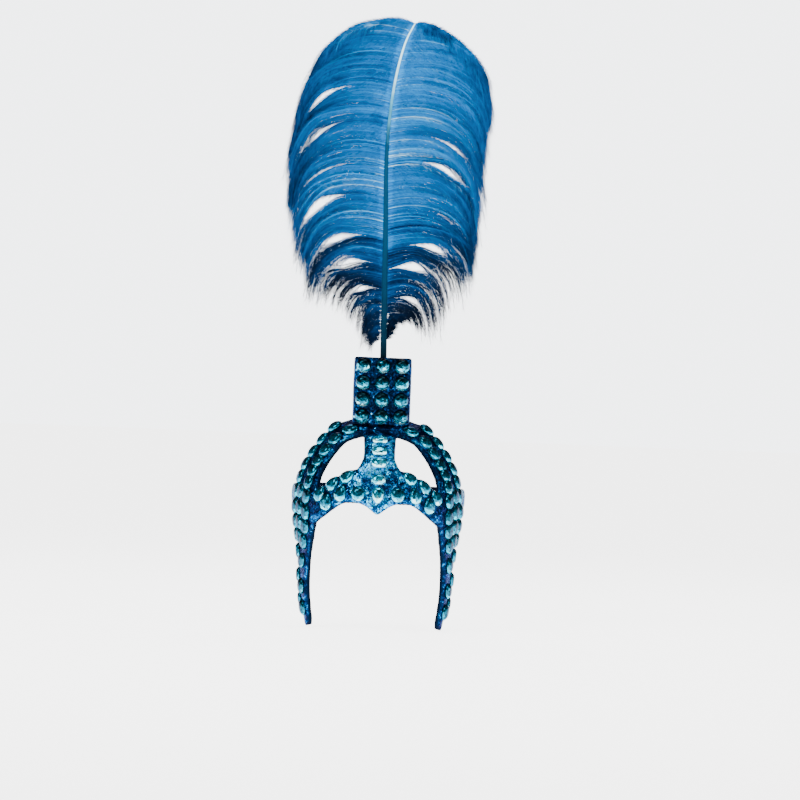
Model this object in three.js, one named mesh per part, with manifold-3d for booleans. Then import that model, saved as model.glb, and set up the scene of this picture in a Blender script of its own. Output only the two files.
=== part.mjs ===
// Showgirl headdress: an open helmet of padded bands that carries a box with one ostrich plume.
// Millimetres, +Z up, the face looks towards -Y and the wearer's right hand is at -X.
// The origin is the middle of the head opening, at the height of the brow line.

import * as THREE from 'three';
import { mergeVertices } from 'three/addons/utils/BufferGeometryUtils.js';
import Module from 'manifold-3d';

const wasm = await Module();
wasm.setup();

// Head and frame
const headBreadth = 150;
const headLength = 187;
const padThickness = 6.5;
const crestHeight = 74;
const armDrop = 119;
const edgeRadius = 2.2;
const browCrown = 1.6;
const sideCrown = 3;
const stripCrown = 2;
const backCrown = 1;
const pieceGap = 0.3;

// Crest pad and box
const crestPadWidth = 44;
const crestPadThickness = 9.5;
const crestLip = 9;
const boxWidth = 54;
const boxHeight = 64;
const boxDepth = 30;
const boxSetBack = 26;
const boxEdgeRadius = 4;
const cornerSteps = 4;
const socketSides = 12;

// Stones: across, along and height
const boxStoneSize = 14.4;
const boxStoneHeight = 5;
const boxStoneRows = 4;
const boxStoneColumns = 3;
const pearWidth = 11.4;
const pearLength = 15.6;
const browStoneHeight = 4.2;
const roundSize = 13.4;
const cushionWidth = 14.5;
const cushionLength = 11;
const fieldOvalWidth = 12;
const fieldOvalLength = 15.6;
const fieldStoneHeight = 4;
const settingThickness = 1.2;
const stoneClearance = 0.75;

// Plume
const plumeHeight = 320;
const plumeHalfWidth = 94;
const quillBaseDiameter = 6.4;
const quillTipDiameter = 1.6;
const quillSocketDepth = 24;
const barbThickness = 5;
const plumeForwardNod = 24;
const plumeDepth = 56;

const halfWidth = headBreadth / 2 + padThickness;
const halfLength = headLength / 2 + padThickness;
const boxFront = -boxSetBack - boxDepth / 2;
const boxBack = -boxSetBack + boxDepth / 2;
const boxTop = crestHeight + pieceGap + boxHeight;
const underCrest = crestHeight - crestPadThickness;

// Heights in the tables are shares of crestHeight above the brow line and of armDrop below it
function level(share) {
  return share >= 0 ? share * crestHeight : share * armDrop;
}

// A point on the frame from its shares of the half width, the half length and the level
function framePoint(x, y, z) {
  return new THREE.Vector3(x * halfWidth, y * halfLength, level(z));
}

// Band over the forehead, right half from the middle out: x, then y and z of its lower and upper edges
const browSections = [
  { x: 0, lowY: -0.99, lowZ: -0.072, highY: -0.887, highZ: 0.435 },
  { x: 0.086, lowY: -0.988, lowZ: -0.03, highY: -0.884, highZ: 0.438 },
  { x: 0.172, lowY: -0.98, lowZ: 0.005, highY: -0.872, highZ: 0.448 },
  { x: 0.258, lowY: -0.966, lowZ: 0.032, highY: -0.852, highZ: 0.452 },
  { x: 0.344, lowY: -0.946, lowZ: 0.034, highY: -0.83, highZ: 0.43 },
  { x: 0.43, lowY: -0.918, lowZ: 0.008, highY: -0.81, highZ: 0.388 },
  { x: 0.503, lowY: -0.885, lowZ: -0.028, highY: -0.79, highZ: 0.34 },
  { x: 0.565, lowY: -0.85, lowZ: -0.062, highY: -0.765, highZ: 0.288 },
  { x: 0.63, lowY: -0.81, lowZ: -0.1, highY: -0.735, highZ: 0.235 },
  { x: 0.7, lowY: -0.755, lowZ: -0.14, highY: -0.695, highZ: 0.18 },
  { x: 0.78, lowY: -0.68, lowZ: -0.19, highY: -0.63, highZ: 0.14 },
];

// Side band from the crest down to the end of the cheek arm: front edge, then rear edge
const sideSections = [
  { frontX: 0.2, frontY: -0.5, frontZ: 0.9, rearX: 0.25, rearY: -0.21, rearZ: 1.105 },
  { frontX: 0.4, frontY: -0.51, frontZ: 0.815, rearX: 0.53, rearY: -0.22, rearZ: 1 },
  { frontX: 0.515, frontY: -0.53, frontZ: 0.685, rearX: 0.678, rearY: -0.225, rearZ: 0.83 },
  { frontX: 0.605, frontY: -0.56, frontZ: 0.54, rearX: 0.79, rearY: -0.24, rearZ: 0.655 },
  { frontX: 0.665, frontY: -0.6, frontZ: 0.42, rearX: 0.875, rearY: -0.25, rearZ: 0.48 },
  { frontX: 0.705, frontY: -0.64, frontZ: 0.31, rearX: 0.93, rearY: -0.255, rearZ: 0.3 },
  { frontX: 0.725, frontY: -0.69, frontZ: 0.15, rearX: 0.965, rearY: -0.26, rearZ: 0.12 },
  { frontX: 0.73, frontY: -0.722, frontZ: -0.04, rearX: 0.98, rearY: -0.25, rearZ: -0.05 },
  { frontX: 0.738, frontY: -0.7, frontZ: -0.15, rearX: 0.958, rearY: -0.23, rearZ: -0.17 },
  { frontX: 0.765, frontY: -0.62, frontZ: -0.27, rearX: 0.917, rearY: -0.19, rearZ: -0.28 },
  { frontX: 0.797, frontY: -0.52, frontZ: -0.42, rearX: 0.878, rearY: -0.13, rearZ: -0.42 },
  { frontX: 0.81, frontY: -0.44, frontZ: -0.63, rearX: 0.848, rearY: -0.1, rearZ: -0.63 },
  { frontX: 0.792, frontY: -0.4, frontZ: -0.81, rearX: 0.806, rearY: -0.1, rearZ: -0.82 },
  { frontX: 0.764, frontY: -0.36, frontZ: -0.94, rearX: 0.77, rearY: -0.14, rearZ: -0.95 },
  { frontX: 0.752, frontY: -0.3, frontZ: -0.985, rearX: 0.756, rearY: -0.21, rearZ: -0.985 },
];
const seamSection = 7;

// Centre strip from the brow band up to the crest pad: half width, y and z
const stripSections = [
  { x: 0.29, y: -0.895, z: 0.34 },
  { x: 0.245, y: -0.868, z: 0.46 },
  { x: 0.195, y: -0.82, z: 0.58 },
  { x: 0.186, y: -0.76, z: 0.68 },
  { x: 0.188, y: -0.67, z: 0.785 },
  { x: 0.192, y: -0.57, z: 0.865 },
  { x: 0.192, y: -0.47, z: 0.915 },
];

// Back band by its angle from the face: lower and upper edge levels
const backSections = [
  { angle: 72, lowZ: -0.025, highZ: 0.24 },
  { angle: 90, lowZ: -0.025, highZ: 0.23 },
  { angle: 120, lowZ: -0.025, highZ: 0.23 },
  { angle: 150, lowZ: -0.025, highZ: 0.23 },
  { angle: 180, lowZ: -0.025, highZ: 0.23 },
];

// Stones on the brow band's right half: place along the half band and up from its lower edge, and the
// angle from the band's cross direction at which the pointed end leans inwards
const browStones = [
  { along: 0.26, up: 0.25, kind: 'round', lean: 0 },
  { along: 0.485, up: 0.3, kind: 'pear', lean: 37 },
  { along: 0.72, up: 0.31, kind: 'pear', lean: 45 },
  { along: 0.405, up: 0.78, kind: 'pear', lean: 62 },
  { along: 0.615, up: 0.77, kind: 'pear', lean: 66 },
  { along: 0.835, up: 0.74, kind: 'pear', lean: 62 },
];
const peakStoneUp = 0.42;
const topStoneUp = 0.78;
const stripStones = [0.24, 0.46, 0.68];

// Stones on a side band, in columns: share across from the front edge, then the first one's place
// and the pitch as shares of the way from the crest to the end of the arm
const sideColumns = [
  { across: 0.25, first: 0.11, pitch: 0.069, count: 12 },
  { across: 0.75, first: 0.08, pitch: 0.069, count: 12 },
  { across: 0.5, first: 0.43, pitch: 0.069, count: 4 },
];
const settingMargin = 0.03;
const settingSteps = 18;

// Locks of barbs on one side, from the lowest up: where each leaves the quill, how far it reaches,
// how high it arcs and how far its tip drops as shares of its reach, and where its tip lies in depth
const locks = [
  { root: 0.05, reach: 0.13, arc: 0.5, drop: 0.45, depth: 0.2 },
  { root: 0.11, reach: 0.26, arc: 0.42, drop: 0.5, depth: -0.4 },
  { root: 0.17, reach: 0.46, arc: 0.34, drop: 0.42, depth: 0.5 },
  { root: 0.24, reach: 0.66, arc: 0.28, drop: 0.38, depth: -0.7 },
  { root: 0.315, reach: 0.79, arc: 0.23, drop: 0.37, depth: 0.7 },
  { root: 0.39, reach: 0.86, arc: 0.2, drop: 0.36, depth: -1 },
  { root: 0.465, reach: 0.91, arc: 0.2, drop: 0.34, depth: 0.6 },
  { root: 0.54, reach: 0.96, arc: 0.2, drop: 0.32, depth: -0.8 },
  { root: 0.615, reach: 1, arc: 0.2, drop: 0.3, depth: 0.9 },
  { root: 0.69, reach: 0.99, arc: 0.2, drop: 0.27, depth: -0.9 },
  { root: 0.76, reach: 0.93, arc: 0.2, drop: 0.25, depth: 0.7 },
  { root: 0.825, reach: 0.84, arc: 0.23, drop: 0.22, depth: -0.8 },
  { root: 0.88, reach: 0.74, arc: 0.27, drop: 0.2, depth: 0.5 },
  { root: 0.93, reach: 0.6, arc: 0.3, drop: 0.16, depth: -0.6 },
  { root: 0.965, reach: 0.44, arc: 0.3, drop: 0.12, depth: 0 },
];
// The middle line of a lock past its root: shares of its reach, its depth, its arc and its drop
const lockLine = [
  { reach: 0.35, depth: 0.3, arc: 0.75, drop: 0 },
  { reach: 0.72, depth: 0.8, arc: 0.7, drop: 0 },
  { reach: 0.95, depth: 1, arc: 0, drop: 0.25 },
  { reach: 1, depth: 1, arc: 0, drop: 1 },
];
const lockWidth = 30;
const widestShare = 0.6;
const tipNarrowing = 0.92;
const tipThinning = 0.6;
const lockSteps = 5;
const lathWidth = 8;
const lathSteps = 14;

// Quill from the box up: sideways and forward swing as shares of the half width and the nod
const quillSections = [
  { rise: 0, side: 0, forward: 0 },
  { rise: 0.14, side: -0.01, forward: -0.1 },
  { rise: 0.4, side: -0.03, forward: -0.1 },
  { rise: 0.6, side: -0.045, forward: 0.08 },
  { rise: 0.74, side: -0.02, forward: 0.3 },
  { rise: 0.86, side: 0.04, forward: 0.58 },
  { rise: 0.94, side: 0.115, forward: 0.82 },
  { rise: 0.985, side: 0.19, forward: 1 },
];

const fabric = new THREE.MeshStandardMaterial({ color: '#0b4f8c', roughness: 0.35, metalness: 0.5 });
const stoneMaterial = new THREE.MeshStandardMaterial({ color: '#2fa3b0', roughness: 0.08, metalness: 0.4 });
const barbMaterial = new THREE.MeshStandardMaterial({ color: '#0f7cc4', roughness: 0.7, metalness: 0 });
const quillMaterial = new THREE.MeshStandardMaterial({ color: '#0a3a52', roughness: 0.4, metalness: 0 });

const group = new THREE.Group();

function addMesh(name, geometry, material) {
  const mesh = new THREE.Mesh(geometry, material.clone());
  mesh.name = name;
  group.add(mesh);
  return mesh;
}

// Closed meshes and solids

function signedVolume(geometry) {
  const place = geometry.attributes.position;
  const index = geometry.index;
  const corners = [new THREE.Vector3(), new THREE.Vector3(), new THREE.Vector3()];
  let volume = 0;
  for (let face = 0; face < index.count; face += 3) {
    corners.forEach((corner, k) => corner.fromBufferAttribute(place, index.getX(face + k)));
    volume += corners[0].dot(corners[1].clone().cross(corners[2])) / 6;
  }
  return volume;
}

// Joins rings of equally many points, one after the other, and closes both ends with fans
function loft(rings) {
  const count = rings[0].length;
  const points = rings.flat();
  const triangles = [];
  for (let ring = 0; ring < rings.length - 1; ring += 1) {
    for (let k = 0; k < count; k += 1) {
      const next = (k + 1) % count;
      const a = ring * count + k;
      const b = ring * count + next;
      triangles.push(a, b, b + count, a, b + count, a + count);
    }
  }
  const lastRing = (rings.length - 1) * count;
  for (const [start, ring, turned] of [[0, rings[0], true], [lastRing, rings.at(-1), false]]) {
    const middle = new THREE.Vector3();
    ring.forEach((point) => middle.addScaledVector(point, 1 / count));
    const hub = points.push(middle) - 1;
    for (let k = 0; k < count; k += 1) {
      const next = (k + 1) % count;
      triangles.push(hub, start + (turned ? next : k), start + (turned ? k : next));
    }
  }
  const geometry = new THREE.BufferGeometry().setFromPoints(points);
  geometry.setIndex(triangles);
  if (signedVolume(geometry) < 0) geometry.setIndex(triangles.reverse());
  return geometry;
}

function toSolid(source) {
  const bare = source.clone();
  bare.deleteAttribute('normal');
  bare.deleteAttribute('uv');
  const merged = mergeVertices(bare, 1e-4);
  return new wasm.Manifold(new wasm.Mesh({
    numProp: 3,
    vertProperties: Float32Array.from(merged.attributes.position.array),
    triVerts: Uint32Array.from(merged.index.array),
  }));
}

function toGeometry(solid) {
  const mesh = solid.getMesh();
  const geometry = new THREE.BufferGeometry();
  geometry.setAttribute('position', new THREE.BufferAttribute(mesh.vertProperties, 3));
  geometry.setIndex(new THREE.BufferAttribute(mesh.triVerts, 1));
  geometry.computeVertexNormals();
  return geometry;
}

// A cut can leave crumbs past the neighbour that made it, so the largest body is the piece
function largestBody(solid) {
  return solid.decompose().reduce((best, body) => (body.volume() > best.volume() ? body : best));
}

function blockSolid(low, high) {
  const size = high.clone().sub(low);
  const block = new THREE.BoxGeometry(size.x, size.y, size.z);
  block.translate((low.x + high.x) / 2, (low.y + high.y) / 2, (low.z + high.z) / 2);
  return toSolid(block);
}

// Padded bands: a curved ribbon between two edge curves, with a crown across it

function band(firstPoints, secondPoints, crown, facing) {
  const first = new THREE.CatmullRomCurve3(firstPoints);
  const second = new THREE.CatmullRomCurve3(secondPoints);
  const step = 1e-3;

  function frame(t) {
    const from = first.getPoint(t);
    const across = second.getPoint(t).sub(from);
    const before = Math.max(0, t - step);
    const after = Math.min(1, t + step);
    const middle = (s) => first.getPoint(s).add(second.getPoint(s)).multiplyScalar(0.5);
    const along = middle(after).sub(middle(before)).normalize();
    const out = along.clone().cross(across).normalize().multiplyScalar(facing);
    return { from, across, along, out, width: across.length() };
  }

  function point(t, u, lift = 0) {
    const { from, across, out } = frame(t);
    return from.addScaledVector(across, u).addScaledVector(out, crown * 4 * u * (1 - u) + lift);
  }

  // The outward normal and the direction along the band on its crowned face
  function seat(t, u) {
    const sideways = point(t, u + step).sub(point(t, u - step));
    const along = point(t + step, u).sub(point(t - step, u)).normalize();
    const normal = along.clone().cross(sideways).normalize().multiplyScalar(facing);
    return { place: point(t, u), normal, along };
  }

  function ring(t, thickness, lift, grow) {
    const width = frame(t).width;
    const inset = Math.min(edgeRadius, width / 3) / width;
    const margin = grow / width;
    const top = lift + grow;
    const bottom = lift - thickness - grow;
    const bevel = Math.min(edgeRadius, thickness / 3);
    const shares = [0, 0.5, 1].map((share) => inset + share * (1 - 2 * inset));
    return [
      ...shares.map((u) => point(t, u, top)),
      point(t, 1 + margin, top - bevel),
      point(t, 1 + margin, bottom + bevel),
      ...shares.toReversed().map((u) => point(t, u, bottom)),
      point(t, -margin, bottom + bevel),
      point(t, -margin, top - bevel),
    ];
  }

  function solid({ start = 0, end = 1, steps, thickness = padThickness, lift = 0, grow = 0 }) {
    const rings = [];
    for (let k = 0; k <= steps; k += 1) {
      rings.push(ring(start + (end - start) * k / steps, thickness, lift, grow));
    }
    return toSolid(loft(rings));
  }

  // A thin bed on the band's face, from one share across to another
  function bed({ start, end, from, to, steps, thickness, lift }) {
    const rings = [];
    for (let k = 0; k <= steps; k += 1) {
      const t = start + (end - start) * k / steps;
      const shares = [from, (from + to) / 2, to];
      rings.push([
        ...shares.map((u) => point(t, u, lift + thickness)),
        ...shares.toReversed().map((u) => point(t, u, lift)),
      ]);
    }
    return toSolid(loft(rings));
  }

  return { point, seat, solid, bed, length: first.getLength() };
}

function mirrorX(point) {
  return new THREE.Vector3(-point.x, point.y, point.z);
}

function browBand() {
  const low = browSections.map((row) => framePoint(row.x, row.lowY, row.lowZ));
  const high = browSections.map((row) => framePoint(row.x, row.highY, row.highZ));
  const wholeLow = [...low.slice(1).toReversed().map(mirrorX), ...low];
  const wholeHigh = [...high.slice(1).toReversed().map(mirrorX), ...high];
  return band(wholeLow, wholeHigh, browCrown, 1);
}

function sideBand(side) {
  const turned = (point) => (side < 0 ? mirrorX(point) : point);
  const front = sideSections.map((row) => turned(framePoint(row.frontX, row.frontY, row.frontZ)));
  const rear = sideSections.map((row) => turned(framePoint(row.rearX, row.rearY, row.rearZ)));
  return band(front, rear, sideCrown, side);
}

function stripBand() {
  const left = stripSections.map((row) => framePoint(-row.x, row.y, row.z));
  const right = stripSections.map((row) => framePoint(row.x, row.y, row.z));
  return band(left, right, stripCrown, -1);
}

function backBand() {
  const half = backSections.map((row) => ({ ...row, angle: THREE.MathUtils.degToRad(row.angle) }));
  const rows = [...half, ...half.slice(0, -1).toReversed().map((row) => ({ ...row, angle: -row.angle }))];
  const edge = (key) => rows.map((row) => (
    framePoint(Math.sin(row.angle), -Math.cos(row.angle), row[key])
  ));
  return band(edge('lowZ'), edge('highZ'), backCrown, 1);
}

// The crest pad's side outline, extruded across the head
function crestPadSolid(grow) {
  const lipFront = boxFront - crestLip - grow;
  const rear = boxBack + grow;
  const top = crestHeight + grow;
  const bottom = underCrest - grow;
  const outline = new THREE.Shape();
  outline.moveTo(lipFront + edgeRadius, bottom - edgeRadius / 2);
  outline.lineTo(boxFront, bottom);
  outline.lineTo(rear - edgeRadius, bottom);
  outline.lineTo(rear, bottom + edgeRadius);
  outline.lineTo(rear, top - edgeRadius);
  outline.lineTo(rear - edgeRadius, top);
  outline.lineTo(boxFront, top);
  outline.lineTo(boxFront - crestLip / 2, top - crestPadThickness / 5);
  outline.lineTo(lipFront + edgeRadius / 2, bottom + crestPadThickness / 2);
  outline.lineTo(lipFront, bottom + edgeRadius);
  outline.closePath();
  const width = crestPadWidth + 2 * grow;
  const prism = new THREE.ExtrudeGeometry(outline, { depth: width, bevelEnabled: false });
  prism.rotateY(Math.PI / 2);
  prism.rotateX(Math.PI / 2);
  prism.translate(-width / 2, 0, 0);
  return toSolid(prism);
}

// The box: a prism with rounded upright edges, softened at the top, and a socket for the quill
function boxOutline(inset) {
  const w = boxWidth / 2 - inset;
  const d = boxDepth / 2 - inset;
  const r = boxEdgeRadius - inset;
  const outline = new THREE.Shape();
  outline.moveTo(-w + r, -d);
  outline.lineTo(w - r, -d);
  outline.absarc(w - r, -d + r, r, -Math.PI / 2, 0);
  outline.lineTo(w, d - r);
  outline.absarc(w - r, d - r, r, 0, Math.PI / 2);
  outline.lineTo(-w + r, d);
  outline.absarc(-w + r, d - r, r, Math.PI / 2, Math.PI);
  outline.lineTo(-w, -d + r);
  outline.absarc(-w + r, -d + r, r, Math.PI, Math.PI * 1.5);
  return outline.getPoints(cornerSteps).slice(0, -1);
}

function boxSolid() {
  const foot = crestHeight + pieceGap;
  const soften = boxEdgeRadius / 2;
  const layers = [
    { z: foot, inset: soften / 2 },
    { z: foot + soften / 2, inset: 0 },
    { z: boxTop - soften, inset: 0 },
    { z: boxTop - soften / 3, inset: soften / 3 },
    { z: boxTop, inset: soften },
  ];
  const rings = layers.map(({ z, inset }) => (
    boxOutline(inset).map((p) => new THREE.Vector3(p.x, p.y - boxSetBack, z))
  ));
  const socketRadius = quillBaseDiameter / 2 + pieceGap;
  const socket = new THREE.CylinderGeometry(
    socketRadius, socketRadius, 2 * quillSocketDepth, socketSides,
  );
  socket.rotateX(Math.PI / 2);
  socket.translate(0, -boxSetBack, boxTop);
  return toSolid(loft(rings)).subtract(toSolid(socket));
}

// Cut stones lie flat on z = 0, their long axis along y

const outlines = {
  round: (angle) => new THREE.Vector2(Math.cos(angle), Math.sin(angle)),
  oval: (angle) => new THREE.Vector2(Math.cos(angle), Math.sin(angle)),
  cushion: (angle) => {
    const c = Math.cos(angle);
    const s = Math.sin(angle);
    const reach = (Math.abs(c) ** 3 + Math.abs(s) ** 3) ** (-1 / 3);
    return new THREE.Vector2(c * reach, s * reach);
  },
  pear: (angle) => {
    const s = Math.sin(angle);
    return new THREE.Vector2(Math.cos(angle) * (1 - 0.28 * s - 0.2 * Math.max(0, s) ** 2), s);
  },
};

// Crown rings of a cut stone: height and outline as shares, and whether the ring is turned half a side
const mainCut = [
  { height: 0, scale: 0.94, turned: false },
  { height: 0.25, scale: 1, turned: false },
  { height: 0.7, scale: 0.8, turned: true },
  { height: 1, scale: 0.5, turned: false },
];
const fieldCut = [
  { height: 0, scale: 1, turned: false },
  { height: 1, scale: 0.6, turned: false },
];

function stoneGeometry(kind, width, length, height, cut, sides) {
  const rings = cut.map((row) => {
    const ring = [];
    for (let k = 0; k < sides; k += 1) {
      const angle = (k + (row.turned ? 0.5 : 0)) * 2 * Math.PI / sides;
      const place = outlines[kind](angle).multiplyScalar(row.scale);
      ring.push(new THREE.Vector3(place.x * width / 2, place.y * length / 2, row.height * height));
    }
    return ring;
  });
  return loft(rings);
}

const stoneSizes = {
  round: [roundSize, roundSize, browStoneHeight],
  pear: [pearWidth, pearLength, browStoneHeight],
  cushion: [cushionWidth, cushionLength, browStoneHeight],
};
const mainSides = 8;
const fieldSides = 8;
const quarterTurn = 90;

// The matrix that lays a stone on a seat: z along the normal, y along the band, then its own turn
function seatMatrix({ place, normal, along }, lift, turn) {
  const y = along.clone().addScaledVector(normal, -along.dot(normal)).normalize();
  const x = y.clone().cross(normal);
  const matrix = new THREE.Matrix4().makeBasis(x, y, normal);
  matrix.setPosition(place.clone().addScaledVector(normal, lift));
  return matrix.multiply(new THREE.Matrix4().makeRotationZ(THREE.MathUtils.degToRad(turn)));
}

function addStone(name, kind, seat, turn) {
  const [width, length, height] = stoneSizes[kind];
  const mesh = addMesh(name, stoneGeometry(kind, width, length, height, mainCut, mainSides), stoneMaterial);
  seatMatrix(seat, stoneClearance, turn).decompose(mesh.position, mesh.quaternion, mesh.scale);
}

// A field of ovals in columns along a side band, on one thin setting
function stoneField(side) {
  const places = sideColumns.flatMap((column) => Array.from({ length: column.count }, (_, k) => (
    { t: column.first + k * column.pitch, across: column.across }
  )));
  const along = places.map((place) => place.t);
  const across = places.map((place) => place.across);
  const bed = side.bed({
    start: Math.min(...along) - settingMargin,
    end: Math.max(...along) + settingMargin,
    from: Math.min(...across) - settingMargin,
    to: Math.max(...across) + settingMargin,
    steps: settingSteps,
    thickness: settingThickness,
    lift: stoneClearance,
  });
  const lift = stoneClearance + settingThickness / 4;
  return places.reduce((field, place) => {
    const stone = stoneGeometry(
      'oval', fieldOvalWidth, fieldOvalLength, fieldStoneHeight, fieldCut, fieldSides,
    );
    stone.applyMatrix4(seatMatrix(side.seat(place.t, place.across), lift, 0));
    return field.add(toSolid(stone));
  }, bed);
}

// Assembly of the frame

const brow = browBand();
const rightSide = sideBand(1);
const leftSide = sideBand(-1);
const strip = stripBand();
const back = backBand();

const browSteps = 24;
const sideSteps = 28;
const backSteps = 16;
const stripSteps = 10;
const halfSideSteps = sideSteps / 2;
const grownSides = [leftSide, rightSide].map((side) => side.solid({ steps: sideSteps, grow: pieceGap }));
const reachAll = 2 * (halfWidth + halfLength + crestHeight + armDrop);

let browSolid = brow.solid({ steps: browSteps });
let backSolid = back.solid({ steps: backSteps });
for (const grown of grownSides) {
  browSolid = largestBody(browSolid.subtract(grown));
  backSolid = largestBody(backSolid.subtract(grown));
}
addMesh('brow_band', toGeometry(browSolid), fabric);
addMesh('back_band', toGeometry(backSolid), fabric);

const grownBrow = brow.solid({ steps: browSteps, grow: pieceGap });
const stripSolid = strip.solid({ steps: stripSteps }).subtract(grownBrow).subtract(crestPadSolid(pieceGap));
addMesh('center_strip', toGeometry(largestBody(stripSolid)), fabric);
addMesh('crest_pad', toGeometry(crestPadSolid(0)), fabric);

const grownBox = blockSolid(
  new THREE.Vector3(-boxWidth / 2 - pieceGap, boxFront - pieceGap, crestHeight),
  new THREE.Vector3(boxWidth / 2 + pieceGap, boxBack + pieceGap, boxTop),
);
const padSlab = blockSolid(
  new THREE.Vector3(-crestPadWidth / 2 - pieceGap, -reachAll, -reachAll),
  new THREE.Vector3(crestPadWidth / 2 + pieceGap, reachAll, reachAll),
);
const seam = seamSection / (sideSections.length - 1);
const seamHalfGap = pieceGap / 2 / rightSide.length;
for (const [label, side] of [['left', leftSide], ['right', rightSide]]) {
  const arch = side.solid({ end: seam - seamHalfGap, steps: halfSideSteps }).subtract(padSlab).subtract(grownBox);
  addMesh(`${label}_arch`, toGeometry(largestBody(arch)), fabric);
  const arm = side.solid({ start: seam + seamHalfGap, steps: halfSideSteps });
  addMesh(`${label}_cheek_arm`, toGeometry(arm), fabric);
  addMesh(`${label}_side_stones`, toGeometry(stoneField(side)), stoneMaterial);
}

// Box and its stones

addMesh('plume_box', toGeometry(boxSolid()), fabric);
const boxPitchX = boxWidth / boxStoneColumns;
const boxPitchZ = boxHeight / boxStoneRows;
for (let row = 0; row < boxStoneRows; row += 1) {
  for (let column = 0; column < boxStoneColumns; column += 1) {
    const geometry = stoneGeometry(
      'round', boxStoneSize, boxStoneSize, boxStoneHeight, mainCut, mainSides,
    );
    const mesh = addMesh(`box_stone_${row + 1}_${column + 1}`, geometry, stoneMaterial);
    mesh.rotation.x = Math.PI / 2;
    mesh.position.set(
      (column - (boxStoneColumns - 1) / 2) * boxPitchX,
      boxFront - pieceGap,
      boxTop - (row + 0.5) * boxPitchZ,
    );
  }
}

// Stones of the brow band and the strip

const browHalf = (along) => 0.5 + along / 2;
addStone('peak_stone', 'pear', brow.seat(browHalf(0), peakStoneUp), -quarterTurn);
addStone('center_stone_1', 'cushion', brow.seat(browHalf(0), topStoneUp), quarterTurn);
stripStones.forEach((share, k) => {
  addStone(`center_stone_${k + 2}`, 'cushion', strip.seat(share, 0.5), 0);
});
browStones.forEach(({ along, up, kind, lean }, k) => {
  addStone(`right_brow_stone_${k + 1}`, kind, brow.seat(browHalf(along), up), quarterTurn + lean);
  addStone(`left_brow_stone_${k + 1}`, kind, brow.seat(browHalf(-along), up), quarterTurn - lean);
});

// Plume

const quillPath = new THREE.CatmullRomCurve3(quillSections.map((row) => new THREE.Vector3(
  row.side * plumeHalfWidth,
  -boxSetBack - row.forward * plumeForwardNod,
  boxTop + row.rise * plumeHeight,
)));

const quillSides = 8;
const quillSteps = 20;

function quillDiameter(t) {
  return THREE.MathUtils.lerp(quillBaseDiameter, quillTipDiameter, Math.sqrt(t));
}

function quillGeometry() {
  const ringAt = (middle, diameter) => Array.from({ length: quillSides }, (_, k) => {
    const angle = k * 2 * Math.PI / quillSides;
    const out = new THREE.Vector3(Math.cos(angle), Math.sin(angle), 0);
    return middle.clone().addScaledVector(out, diameter / 2);
  });
  const root = quillPath.getPoint(0);
  root.z -= quillSocketDepth - pieceGap;
  const rings = [ringAt(root, quillBaseDiameter)];
  for (let k = 0; k <= quillSteps; k += 1) {
    const t = k / quillSteps;
    rings.push(ringAt(quillPath.getPoint(t), quillDiameter(t)));
  }
  return loft(rings);
}

// All that lies on the quill's other side, with the quill itself and its gap
function farSideSolid(side) {
  const reach = 2 * plumeHalfWidth;
  const ringAt = (middle, diameter) => {
    const near = middle.x + side * (diameter / 2 + pieceGap);
    const far = middle.x - side * reach;
    return [[near, -reach], [near, reach], [far, reach], [far, -reach]].map(([x, y]) => (
      new THREE.Vector3(x, y, middle.z)
    ));
  };
  const rings = [ringAt(quillPath.getPoint(0).setZ(0), quillBaseDiameter)];
  for (let k = 0; k <= quillSteps; k += 1) {
    const t = k / quillSteps;
    rings.push(ringAt(quillPath.getPoint(t), quillDiameter(t)));
  }
  const tip = quillPath.getPoint(1);
  rings.push(ringAt(tip.setZ(tip.z + plumeHeight), quillTipDiameter));
  return toSolid(loft(rings));
}

// One lock: a flat tapering strip that leaves the quill, arcs over and hangs at its tip
function lockSolid(side, row) {
  const root = quillPath.getPointAt(row.root);
  const reach = row.reach * plumeHalfWidth;
  const rootGap = quillBaseDiameter / 2 + pieceGap;
  const swing = row.depth * plumeDepth / 2;
  const line = lockLine.map((knot) => new THREE.Vector3(
    reach * knot.reach, swing * knot.depth, reach * (row.arc * knot.arc - row.drop * knot.drop),
  ));
  const path = new THREE.CatmullRomCurve3([new THREE.Vector3(rootGap / 2, 0, 0), ...line]);
  const rings = [];
  for (let k = 0; k <= lockSteps; k += 1) {
    const t = k / lockSteps;
    const place = path.getPoint(t);
    const tangent = path.getTangent(t);
    const across = new THREE.Vector3(-tangent.z, 0, tangent.x).normalize();
    const width = Math.min(lockWidth, widestShare * reach) * Math.sqrt(1 - tipNarrowing * t * t) / 2;
    const depth = barbThickness * (1 - tipThinning * t) / 2;
    const ring = [
      place.clone().addScaledVector(across, width),
      place.clone().add(new THREE.Vector3(0, -depth, 0)),
      place.clone().addScaledVector(across, -width),
      place.clone().add(new THREE.Vector3(0, depth, 0)),
    ];
    rings.push(ring.map((point) => new THREE.Vector3(
      root.x + side * point.x, root.y + point.y, root.z + point.z,
    )));
  }
  return toSolid(loft(rings));
}

// A lath along the quill, which the locks of one side grow from
function lathSolid(side) {
  const rings = [];
  for (let k = 0; k <= lathSteps; k += 1) {
    const middle = quillPath.getPointAt(THREE.MathUtils.lerp(locks[0].root, locks.at(-1).root, k / lathSteps));
    const corners = [[0, -1], [lathWidth, -1], [lathWidth, 1], [0, 1]];
    rings.push(corners.map(([x, y]) => (
      middle.clone().add(new THREE.Vector3(side * x, y * barbThickness / 3, 0))
    )));
  }
  return toSolid(loft(rings));
}

function vaneSolid(side) {
  const joined = locks.reduce((sum, row) => sum.add(lockSolid(side, row)), lathSolid(side));
  return largestBody(joined.subtract(farSideSolid(side)));
}

addMesh('quill', quillGeometry(), quillMaterial);
addMesh('left_vane', toGeometry(vaneSolid(-1)), barbMaterial);
addMesh('right_vane', toGeometry(vaneSolid(1)), barbMaterial);

export default group;
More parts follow.
